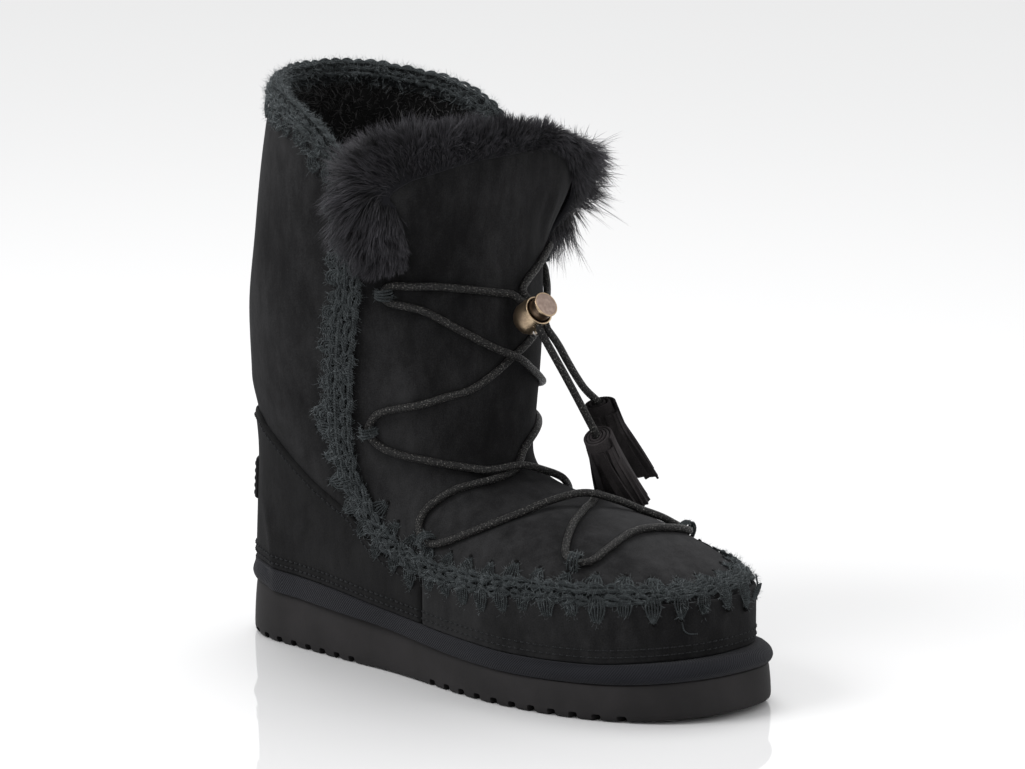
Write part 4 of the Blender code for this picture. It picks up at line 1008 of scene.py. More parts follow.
def hanging_end(name, route, sideways, foot, form, coils, strips, seed):
    start, inside = at_lock(sideways, -8.4, 4.5), at_lock(sideways * 0.8, -5.4, 5.4)
    path = along(np.concatenate([[start], np.array(route)]), 2.2)
    down = unit(np.array(foot) - path[-1])
    end = tassel("tassel_" + name, path[-1] + down * 1.2, foot, form, coils, strips, seed)
    whole = np.concatenate([[inside], path, [path[-1] + down * 3.0]])
    cord = Shape().rod(whole, CORD_RADIUS, 14).build("cord_end_" + name, LACE, "lace_leather",
                                                     replaces=("cord_end_" + name,))


hanging_end("front", CORD_FRONT, -2.2, TASSEL_FRONT_FOOT, (6.9, 6.9, 12.4, 10.0), 4, 26, 3)
hanging_end("back", CORD_BACK, 2.2, TASSEL_BACK_FOOT, (7.8, 4.6, 14.0, 30.0), 3, 24, 8)

# %% [markdown]
# ## The upper
# The upper is a soft tube of suede, sewn from a vamp, a front panel and a back. Here it is one closed loft
# between two offsets of the same field, dense enough for creases. A wedge is cut out where the front flap
# parts from the back. Creases are soft troughs pressed along short lines.

# %% Suede shell
CREASES = (
    # start, end, depth with a ridge below zero, half width
    ((100.5, 36.1, 216.1), (97.8, 26.2, 167.1), -1.3, 3.0),
    ((103.5, 28.0, 214.0), (101.5, 20.0, 172.0), 0.9, 4.0),
    ((86.0, -40.0, 205.0), (95.0, -32.0, 186.0), 0.8, 6.0),
    ((76.0, -50.0, 200.0), (80.0, -47.0, 184.0), -0.7, 4.5),
    ((98.0, -29.0, 150.0), (104.0, -8.0, 132.0), 0.8, 5.0),
    ((83.0, -42.0, 154.0), (98.0, -27.0, 136.0), -0.8, 6.0),
    ((103.0, 18.0, 122.0), (108.0, -4.0, 112.0), 1.2, 5.0),
    ((98.0, -28.0, 116.0), (107.0, -6.0, 104.0), 0.9, 4.5),
    ((112.0, 8.0, 100.0), (104.0, -20.0, 99.0), -0.8, 4.0),
    ((116.0, -12.0, 86.0), (104.0, -34.0, 76.0), 0.9, 4.5),
    ((128.0, 4.0, 85.0), (132.0, -26.0, 79.0), 0.8, 5.0),
    ((160.0, 8.0, 77.5), (166.0, -18.0, 74.5), 0.7, 6.0),
    ((192.0, 14.0, 68.0), (196.0, -14.0, 66.0), 0.5, 7.0),
    ((24.0, -50.0, 126.0), (38.0, -50.0, 112.0), 0.9, 6.0),
    ((-14.0, -42.0, 150.0), (20.0, -52.0, 138.0), 0.9, 9.0),
    ((-4.0, -46.0, 172.0), (34.0, -57.0, 160.0), -0.6, 10.0),
    ((6.0, -52.0, 205.0), (10.0, -54.0, 168.0), 0.6, 8.0),
    ((40.0, -57.0, 196.0), (42.0, -56.0, 160.0), 0.5, 6.0),
)


def creased(points, lift):
    """How far the suede sinks or swells beside each listed line."""
    change = np.zeros(points.shape[:-1])
    for start, end, depth, width in CREASES:
        start, end = np.array(start, float), np.array(end, float)
        way = end - start
        t = np.clip(((points - start) @ way) / (way @ way), 0.0, 1.0)
        away = np.linalg.norm(points - start - t[..., None] * way, axis=-1)
        change -= depth * np.exp(-(away / width)**2) * np.sin(np.pi * np.clip(t * 0.9 + 0.05, 0.0, 1.0))
    return change


def shell(name, high, low, rings, turns, finish):
    """Closed wall of the upper between two offsets from its outer form, with the slit beside the flap."""
    ring, turn = np.meshgrid(rings, turns, indexing="ij")
    form = on_upper(ring, turn)
    normal = normal_at(form)
    outer = form + normal * (high + creased(form, high) * (high >= 0))[..., None]
    inner = form + normal * low
    inner[0, :, 2] = outer[0, :, 2]
    made = Shape().grid(np.concatenate([outer, inner[::-1]]), closed=True, ring=True).plain(name, finish)
    wedge = [(67.0, 178.0), (70.5, 178.0), (71.5, 262.0), (58.0, 262.0)]
    rows = [[(x, y, z) for x, z in wedge] for y in (-90.0, 90.0)]
    cutter = Shape().grid(rows, closed=True, caps=True).plain(name + "_slit")
    cut = made.modifiers.new("slit", "BOOLEAN")
    cut.operation, cut.solver, cut.object = "DIFFERENCE", "EXACT", cutter
    whole = flatten(made, name)
    bpy.data.objects.remove(cutter)
    return whole


upper_rings = np.concatenate([np.linspace(0, 3, 30, endpoint=False), np.linspace(3, 16, 110)])
upper_turns = np.radians(np.linspace(-180, 180, 240, endpoint=False))
suede_shell = shell("suede_upper", 0.0, -2.0, upper_rings, upper_turns, UPPER_SUEDE)
dress(suede_shell, replaces=("upper",))

# %% [markdown]
# ## Lining and insole
# The boot is lined with short curly pile. A second, coarser shell stands just inside the suede, and hairs grow
# from it where the eye can reach. The insole is a soft pad of the same pile.

# %% Lining
lining = shell("pile_lining", -2.1, -3.5, np.linspace(0, 15.9, 64),
               np.radians(np.linspace(-180, 180, 120, endpoint=False)), LINING)
dress(lining)
ring, turn = np.meshgrid(np.linspace(12.6, 15.9, 26), np.radians(np.linspace(68, 292, 120)), indexing="ij")
inside = on_upper(ring, np.where(turn > np.pi, turn - 2 * np.pi, turn), -3.6)
pile_skin = Shape().grid(inside).plain("pile_skin", LINING)
pile_out = -normal_at(spots(pile_skin))
curl_tuft = tuft("pile_tuft", 2, 6.0, 3)
pile = grow("pile_hair", pile_skin, pile_out, np.full(len(pile_out), 4.6), pile_out, PILE, curl_tuft,
            Density=2.6e5, Width=0.00032, Spread=0.9, Clump=1.6, Droop=0.0, Seed=60, Clump_Size=260.0)
dress(pile)
for spare in (pile_skin, curl_tuft):
    bpy.data.objects.remove(spare)


def around_foot(heel_steps, side_steps, toe_steps):
    """Stations all round the shoe: a point of the middle line by its x, and a direction in degrees."""
    heel = [(0.0, -90.0 - 180.0 * step / heel_steps) for step in range(heel_steps)]
    inner = [(170.0 * step / side_steps, 90.0) for step in range(side_steps)]
    toe = [(170.0, 90.0 - 180.0 * step / toe_steps) for step in range(toe_steps)]
    outer = [(170.0 * (1.0 - step / side_steps), -90.0) for step in range(side_steps)]
    return np.array(heel + inner + toe + outer)


def with_height(points, height):
    points = points.copy()
    points[..., 2] = height
    return points


def insole():
    stations = around_foot(24, 24, 30)
    base = read(SOLE_SIDE, upper_at(stations, 30.0)[:, 0], 2) + 0.3
    spine = np.stack([stations[:, 0], inswing(stations[:, 0])], -1)
    floor_z = read(SOLE_SIDE, spine[:, 0], 2) + 0.3
    rows = [np.column_stack([spine, floor_z])]
    for rise, inward in ((0.0, 4.5), (1.5, 4.0), (4.5, 4.0), (6.0, 5.5)):
        rows.append(with_height(upper_at(stations, base + rise, -inward), base + rise))
    rows.append(np.column_stack([spine, floor_z + 6.4]))
    made = Shape().grid(rows, closed=True).plain("insole_pile", LINING)
    face_outwards(made.data, weld=True)
    return dress(made, replaces=("insole",))


insole()

# %% [markdown]
# ## Heel counter, side wall and heel tab
# Three pieces of suede are sewn over the foot of the upper: a counter round the heel, a wall round the toe and a
# small tab on the heel. Each is a plate between two lifts over the same field, with a rounded edge.

# %% Overlays
COUNTER_TOP = ((-42, 104.5), (-33, 105.5), (-22, 107.0), (-13, 106.2), (-7, 102.5), (2, 97.4), (14, 89.4),
               (27, 80.5), (38, 74.2), (48, 69.0), (57, 61.5), (72, 54.0), (95, 48.5))
TOE_WALL_TOP = ((95, 48.5), (130, 49.0), (160, 50.8), (230, 52.2))


def around_heel(front, side_steps, heel_steps):
    side = [front * (1.0 - step / side_steps) for step in range(side_steps)]
    heel = [(0.0, -90.0 - 180.0 * step / heel_steps) for step in range(heel_steps + 1)]
    return np.array([(x, -90.0) for x in side] + heel + [(x, 90.0) for x in reversed(side)])


def around_toe(rear, side_steps, toe_steps):
    side = [rear + (170.0 - rear) * step / side_steps for step in range(side_steps)]
    toe = [(170.0, -90.0 + 180.0 * step / toe_steps) for step in range(toe_steps + 1)]
    return np.array([(x, -90.0) for x in side] + toe + [(x, 90.0) for x in reversed(side)])


def overlay(name, stations, low, high, base, thick, levels, finish):
    """Plate on the upper whose edges are rolled over by their own thickness."""
    inset, rolled = np.array([0.0, 0.3, 0.9, 1.6]) / 40.0, [0.15, 0.62, 0.93, 1.0]
    span = high - low
    part = np.concatenate([inset, np.linspace(0.06, 0.94, levels), 1.0 - inset[::-1]])
    rise = np.concatenate([rolled, np.ones(levels), rolled[::-1]])
    ends = np.minimum(np.arange(len(stations)), np.arange(len(stations))[::-1])
    edge = np.interp(ends, (0, 1, 2), (0.35, 0.85, 1.0))
    outer = [upper_at(stations, low + span * p, base + thick * r * edge) for p, r in zip(part, rise)]
    inner = [upper_at(stations, low + span * p, base) for p in (1.0, 0.5, 0.0)]
    rows = np.swapaxes(np.array(outer + inner), 0, 1)
    return Shape().grid(rows, closed=True, caps=True).build(name, finish, "suede_overlay", replaces=(name,))


heel_line = around_heel(95.2, 48, 60)
heel_low = read(SOLE_SIDE, upper_at(heel_line, 30.0)[:, 0], 3) + 0.2
heel_high = read(COUNTER_TOP, upper_at(heel_line, 60.0)[:, 0], 1)
overlay("heel_counter", heel_line, heel_low, heel_high, 0.2, 1.6, 22, SHADED_COUNTER_SUEDE)
toe_line = around_toe(96.0, 34, 84)
toe_low = read(SOLE_SIDE, upper_at(toe_line, 30.0)[:, 0], 3) + 0.2
toe_high = read(TOE_WALL_TOP, upper_at(toe_line, 40.0)[:, 0], 1)
overlay("toe_wall", toe_line, toe_low, toe_high, 0.2, 1.9, 10, OVERLAY_SUEDE)
tab_line = np.array([(0.0, turn) for turn in np.linspace(-230.0, -130.0, 56)])
overlay("heel_tab", tab_line, np.full(56, 63.0), np.full(56, 81.5), 1.9, 1.3, 10, SHADED_COUNTER_SUEDE)

# %% Stitches
stitch = Shape().rod([(-1.2, 0, -0.2), (-0.6, 0, 0.16), (0.0, 0, 0.24), (0.6, 0, 0.16), (1.2, 0, -0.2)], 0.3,
                     5).plain("stitch")


def stitch_row(name, points, pitch=3.3):
    fine = along(points, 1.5)
    dress(copies(name, fine, normal_at(fine), stitch, THREAD, pitch))


for name, line, low in (("heel", heel_line, heel_low), ("toe", toe_line, toe_low)):
    for number, rise in enumerate((3.2, 6.4)):
        stitch_row(f"stitches_{name}_{number + 1}", upper_at(line[1:-1], low[1:-1] + rise, 2.1))
stitch_row("stitches_counter", upper_at(heel_line[2:-2], heel_high[2:-2] - 3.4, 2.1))
border = ((-226.5, 65.5), (-226.5, 79.0), (-133.5, 79.0), (-133.5, 65.5), (-226.5, 65.5))
for number, (start, end) in enumerate(zip(border, border[1:])):
    spread = np.linspace(start, end, 20)
    stitch_row(f"stitches_tab_{number + 1}",
               upper_at(np.column_stack([np.zeros(20), spread[:, 0]]), spread[:, 1], 3.05))
bpy.data.objects.remove(stitch)

# %% [markdown]
# ## Sole and welt
# The sole is moulded rubber with cross grooves under the heel and the forefoot, and a shallow waist between. A
# thick twill tape covers the seam above it. Both follow the plan outline of the sole at every point.

# %% Sole
def sole_at(stations, stand_out=0.0):
    start, way = spokes(stations, 0.0)
    return cast(start, way, sole_field) + way * stand_out


def outsole():
    stations = around_foot(48, 40, 64)
    outline = sole_at(stations)
    spine = np.stack([stations[:, 0], inswing(stations[:, 0])], -1)
    low, high = read(SOLE_SIDE, outline[:, 0], 1), read(SOLE_SIDE, outline[:, 0], 2)
    rows = [np.column_stack([spine, read(SOLE_SIDE, spine[:, 0], 1)])]
    for inset in (22.0, 11.0):
        place = sole_at(stations, -inset)
        rows.append(with_height(place, read(SOLE_SIDE, place[:, 0], 1)))
    for part, stand_out in ((0.0, -2.0), (0.02, -1.1), (0.06, -0.35), (0.12, -0.05), (0.2, 0.0), (0.45, -0.2),
                            (0.7, -0.55), (0.9, -1.0), (0.97, -1.3), (1.0, -1.9)):
        rows.append(with_height(sole_at(stations, stand_out), low + (high - low) * part))
    place = sole_at(stations, -14.0)
    rows.append(with_height(place, read(SOLE_SIDE, place[:, 0], 2)))
    rows.append(np.column_stack([spine, read(SOLE_SIDE, spine[:, 0], 2)]))
    made = Shape().grid(rows, closed=True).plain("rubber_sole", RUBBER)
    face_outwards(made.data, weld=True, dissolve=True)
    cutter = Shape()
    grooves = [(-33.5 + 10.0 * n, 4.0, 3.2) for n in range(9)] + [(102.8 + 10.4 * n, 4.0, 3.2) for n in range(11)]
    for middle, width, depth in grooves + [(75.5, 41.0, 0.8)]:
        half = width / 2
        outline = [(middle - half, -5.0), (middle + half, -5.0), (middle + half, depth - 0.6),
                   (middle + half - 0.6, depth), (middle - half + 0.6, depth), (middle - half, depth - 0.6)]
        cutter.grid([[(x, y, z) for x, z in outline] for y in (-80.0, 80.0)], closed=True, caps=True)
    tool = cutter.plain("grooves")
    cut = made.modifiers.new("grooves", "BOOLEAN")
    cut.operation, cut.solver, cut.object = "DIFFERENCE", "EXACT", tool
    whole = flatten(made, "rubber_sole")
    bpy.data.objects.remove(tool)
    whole.data.set_sharp_from_angle(angle=math.radians(35))
    return dress(whole, replaces=("outsole",))


outsole()


# %% Welt
def welt():
    stations = around_foot(60, 60, 80)
    foot = read(SOLE_SIDE, sole_at(stations)[:, 0], 2) + 0.2
    top = read(SOLE_SIDE, upper_at(stations, 30.0)[:, 0], 3)
    start, way = spokes(stations, 0.0)
    inner = [upper_at(stations, height, 0.1) for height in (top, (top + foot) / 2, foot)]
    rows = []
    for part, stand_out in ((0.0, -1.6), (0.04, -0.7), (0.12, -0.05), (0.25, 0.55), (0.38, 0.8), (0.52, 0.6),
                            (0.68, 0.05), (0.8, -0.8), (0.9, -1.8), (0.97, -2.6)):
        outer = ((sole_at(stations, stand_out) - start) * way).sum(1)
        least = ((inner[2] - start) * way).sum(1) + 2.2
        rows.append(with_height(start + way * np.maximum(outer, least)[:, None], foot + (top - foot) * part))
    rows.append(with_height(inner[0] + way * 2.0, top + 0.1))
    rows += [with_height(inner[0], top), with_height(inner[1], (top + foot) / 2), with_height(inner[2], foot)]
    return Shape().grid(np.swapaxes(np.array(rows), 0, 1), closed=True, ring=True).build(
        "twill_welt", TWILL, "welt_twill", replaces=("welt",))


welt()

# %% [markdown]
# ## Yarn seams
# A thick crochet seam joins the side of the shaft and the vamp to the rest. It is two rows of chain stitch with
# fans of yarn, like teeth, that run to punched holes on both sides. One chain link and one tooth are modelled,
# and Geometry Nodes repeat them along lines that lie on the suede.

# %% Seam path
SEAM = (
    # x, height, half width
    (56.6, 211, 4.8), (58.0, 203, 4.8), (59.2, 190, 5.0), (59.2, 174, 5.8), (56.0, 156, 6.5),
    (53.5, 138, 6.5), (51.0, 122, 6.5), (49.5, 107, 6.5), (50.0, 93, 6.0), (54.0, 79, 5.5), (64.0, 66, 5.0),
    (79.0, 58, 4.5), (98.0, 53.5, 4.5), (130.0, 52.8, 4.5), (160.0, 54.3, 4.5),
)


def seam_path(spacing):
    side = [(x, height) for x, height, half in SEAM]
    low = [upper_at(np.array([(x, -90.0)]), height)[0] for x, height in side]
    turns = np.linspace(-75.0, 75.0, 9)
    rise = 54.3 + 1.2 * np.cos(np.radians(turns))
    toe = list(upper_at(np.array([(170.0, turn) for turn in turns]), rise))
    high = [upper_at(np.array([(x, 90.0)]), height)[0] for x, height in reversed(side)]
    return settle(along(low + toe + high, spacing))


def beside(path, sideways, lift):
    """A path moved sideways on the suede and lifted off it, with its directions."""
    normal = normal_at(path)
    ahead = unit(np.gradient(path, axis=0))
    across = unit(np.cross(normal, ahead))
    place = settle(path + across * np.broadcast_to(sideways, len(path))[:, None])
    up = normal_at(place)
    return place + up * np.broadcast_to(lift, len(path))[:, None], up, unit(np.gradient(place, axis=0))


def link(name, half_width, length, thick):
    """One V of a chain stitch: on each side three thin strands that meet ahead and open behind."""
    shape = Shape()
    for side in (-1, 1):
        for strand in (0, 1, 2):
            wide = half_width * (1.0 - 0.3 * strand)
            high = (0.1, 0.55, 0.2)[strand]
            path = [(length * (0.56 - 0.06 * strand), side * 0.08 * half_width, -0.1),
                    (length * 0.18, side * 0.62 * wide, high + 0.6),
                    (-length * 0.2, side * 0.95 * wide, high + 0.75),
                    (-length * (0.66 - 0.05 * strand), side * 0.35 * wide, 0.0)]
            fine = along(path, length / 4)
            size = np.interp(np.linspace(0, 1, len(fine)), (0, 0.3, 0.7, 1), (0.6, 1.0, 1.0, 0.5)) * thick
            shape.rod(fine, size, 5, caps=False)
    return shape.plain(name)


def fan(name, reach, spread, strands, thick, lift):
    """A fan of yarn strands that leaves the seam and runs into one punched hole; its -Y points to the hole."""
    shape = Shape()
    for strand in range(strands):
        place = (strand / (strands - 1) - 0.5) * 2.0
        bulge = 1.0 - 0.35 * abs(place)
        path = [(place * spread * 0.7, 2.2, lift + 0.9),
                (place * spread, -0.15 * reach, lift + 0.6 * bulge + 0.6),
                (place * spread * 0.78, -0.5 * reach, lift + 0.5 * bulge + 0.4),
                (place * spread * 0.15, -reach, lift - 0.5)]
        fine = along(path, reach / 4)
        shape.rod(fine, np.interp(np.linspace(0, 1, len(fine)), (0, 0.6, 1), (0.9, 1.0, 0.8)) * thick, 4,
                  caps=False)
    return shape.plain(name)


def disc(name, radius, lift):
    """Dark spot of painted shade where yarn runs into a punched hole, a little hollow in its middle."""
    turns = np.linspace(0, 2 * np.pi, 10, endpoint=False)
    rows = [[(radius * size * math.cos(turn), radius * size * math.sin(turn), lift * high) for turn in turns]
            for size, high in ((1.0, 0.0), (0.85, 1.0), (0.3, 0.7))]
    return Shape().grid(rows, closed=True, caps=True).plain(name)


def curl(name, thick):
    """Open loop of yarn like a comma: it leaves the seam along -Y and turns back towards it."""
    shape = Shape()
    for strand in range(4):
        far = 1.0 - 0.16 * strand
        path = [(-1.6 * far, 1.6, 1.0), (-3.2 * far, -1.6, 1.5 - 0.2 * strand), (-2.3 * far, -5.2 * far, 1.3),
                (0.4, -6.9 * far, 1.1), (2.4 * far, -4.9 * far, 1.4), (2.2 * far, -2.4, 1.0)]
        shape.rod(along(path, 2.0), thick, 4, caps=False)
    return shape.plain(name)


def fuzz(name, base, seed, density, length, clump=0.9):
    """Short curly fibres that lie along a yarn piece and stand off it."""
    normals = at_points(base, "normal")
    strand = tuft(name + "_strand", 1, 0.0, 3)
    made = grow(name, base, normals * 0.8, np.full(len(normals), length), normals * 0.0, FUZZ, strand,
                Density=density, Width=0.00013, Spread=1.1, Clump=clump, Droop=0.0, Seed=seed,
                Clump_Size=520.0)
    bpy.data.objects.remove(strand)
    return dress(made)


chain_link = link("chain_link", 2.8, 7.4, 0.5)
path = seam_path(2.0)


def half_width(line):
    """Half the seam's width at each point of a line, from its height."""
    heights, halves = np.array(SEAM)[::-1, 1:].T
    return np.interp(line[:, 2], heights, halves)


halves = half_width(path)
toe = ramp(path[:, 0], (185.0, 215.0))
core = Shape()
rows = []
for across, up in ((-0.8, 0.1), (-0.78, 0.8), (-0.5, 1.5), (0.0, 1.0), (0.5, 1.5), (0.78, 0.8), (0.8, 0.1),
                   (0.0, 0.05)):
    rows.append(beside(path, halves * across * 0.86, up)[0])
core.grid(np.swapaxes(np.array(rows), 0, 1), closed=True, caps=True)
seam_core = core.build("seam_core", YARN_SHADE, "yarn", replaces=("crochet_seam",))
for number, side in enumerate((-0.52, 0.52)):
    place, up, ahead = beside(path, halves * side, 1.9 - 0.9 * toe)
    row = copies(f"seam_chain_{number + 1}", place, up, chain_link, YARN, 6.6 + 0.4 * number, ahead,
                 halves / 5.2, 0.26, 0.16, 11 + number)
    fuzz(f"seam_fuzz_{number + 1}", row, 71 + 5 * number, 4.8e5, 3.4)
    dress(row)
fuzz("seam_fuzz_3", seam_core, 90, 5.0e5, 4.4)

# %% Teeth of the seam
bend = np.flatnonzero(path[:, 2] < 86.0)
below = path[bend[0] - 12:bend[-1] + 13]
flat = np.flatnonzero(path[:, 2] < 70.0)
above = path[flat[0]:flat[-1] + 1]
for name, line, side, pitch, reach, spread, lift in (("seam_teeth_low", below, -1, 11.6, 9.4, 3.4, 1.7),
                                                     ("seam_teeth_high", above, 1, 13.2, 7.2, 3.6, 0.3)):
    half = half_width(line)
    place, up, ahead = beside(line, side * half * 0.75, 0.0)
    tip = beside(line, side * (half * 0.75 + reach), 0.0)[0]
    lean = np.cross(tip - place, ahead)
    up = unit(lean * np.sign((lean * up).sum(-1))[:, None])
    place = place - up * np.minimum(upper_field((place + tip) / 2), 0.0)[:, None]
    tooth = fan(name + "_fan", reach, spread, 6, 0.36, lift)
    row = copies(name, place, up, tooth, YARN, pitch, ahead * -side, 1.0, 0.12, 0.12, 5)
    fuzz(name + "_fuzz", row, 73 + side, 6.0e5, 2.6, 0.6)
    dress(row)
    spot = disc(name + "_spot", 1.1, lift + 0.1)
    spot.data.transform(Matrix.Translation((0.0, -reach * MM, 0.0)))
    dress(copies(name + "_holes", place, up, spot, HOLE_SHADE, pitch, ahead * -side, 1.0, 0.12, 0.12, 5))
    bpy.data.objects.remove(tooth)
    bpy.data.objects.remove(spot)
comma = curl("comma", 0.34)
legs = [path[:bend[0] - 10], path[bend[-1] + 10:]]
for number, leg in enumerate(legs):
    half = half_width(leg)
    place, up, ahead = beside(leg, half * -0.7, 0.0)
    row = copies(f"seam_curls_{number + 1}", place, up, comma, YARN, 8.0, ahead, half / 5.0, 0.35, 0.25,
                 33 + number)
    fuzz(f"seam_curl_fuzz_{number + 1}", row, 101 + number, 1.0e6, 3.4)
    dress(row)
tail = along(settle([(221.2, -16.4, 46.0), (221.6, -15.4, 43.2), (221.8, -14.8, 40.6), (222.8, -12.6, 38.8),
                     (224.0, -9.4, 38.6)], [2.6, 2.0, 2.4, 2.2, 2.6]), 0.8)
Shape().rod(tail, 0.36, 6).build("loose_tail", YARN, "yarn")
print("teeth along", round(float(length_of(below)[-1])), "mm below and", round(float(length_of(above)[-1])),
      "mm above")

# %% [markdown]
# ## Collar braid
# The same yarn binds the back of the collar: one narrow chain follows the rim outside, another lies on top of
# it, and loose curls of yarn hang below like small commas.

# %% Braid
BRAID_SECTION = ((-4.0, 0.3), (-3.6, 0.9), (-1.0, 1.5), (1.8, 1.3), (4.2, -1.75), (1.8, -4.6), (-2.5, -5.2),
                 (-5.0, -4.6), (-5.0, -4.1), (1.0, -4.1), (1.0, 0.3))
braid_turns = np.radians(np.linspace(67.0, 293.0, 150))
braid_path = on_upper(16, np.where(braid_turns > np.pi, braid_turns - 2 * np.pi, braid_turns))
braid_up = normal_at(braid_path)
braid_ahead = unit(np.gradient(braid_path, axis=0))
braid_across = unit(np.cross(braid_up, braid_ahead))
if braid_across[len(braid_across) // 2, 2] < 0:
    braid_across = -braid_across


def at_rim(across, out):
    """Points beside the rim: across above the rim and out of the suede."""
    return braid_path + braid_across * across + braid_up * out


rows = [at_rim(across, out) for across, out in BRAID_SECTION]
braid_core = Shape().grid(np.swapaxes(np.array(rows), 0, 1), closed=True, caps=True).build(
    "braid_core", YARN_SHADE, "yarn", replaces=("collar_braid",))
for number, (across, out, face_up, face_out, size) in enumerate((
        (4.0, -2.2, 1.0, -0.1, 0.8), (0.6, 0.9, 0.35, 1.0, 0.85), (0.6, -4.6, 0.5, -1.0, 0.8))):
    up = unit(braid_across * face_up + braid_up * face_out)
    row = copies(f"braid_chain_{number + 1}", at_rim(across, out), up, chain_link, YARN, 5.6, braid_ahead,
                 size, 0.2, 0.2, 21 + number)
    fuzz(f"braid_fuzz_{number + 1}", row, 79 + number, 5.0e5, 3.4)
    dress(row)
fuzz("braid_fuzz_4", braid_core, 95, 4.5e5, 5.0, 1.4)
place = settle(at_rim(-2.6, 0.0))
hang = normal_at(place)
side_way = unit(np.gradient(place, axis=0))
side_way = np.where(np.cross(hang, side_way)[:, 2:3] > 0, side_way, -side_way)
row = copies("braid_curls", place, hang, comma, YARN, 8.4, side_way, 1.25, 0.35, 0.2, 31)
fuzz("braid_curl_fuzz", row, 77, 7.0e5, 3.2)
dress(row)
bpy.data.objects.remove(comma)
bpy.data.objects.remove(chain_link)

# %% [markdown]
# ## Lace
# One round leather lace runs from the lock down one side, crosses the front, goes round the toe end and comes
# back. It passes through eight small loops on the yarn seam. It is one rod along a table of places on the suede.
# Where the lace shows, places were picked in the photograph, and a helper script outside this notebook worked out
# where they lie on the suede. The places between them and the hidden ones were listed one by one.

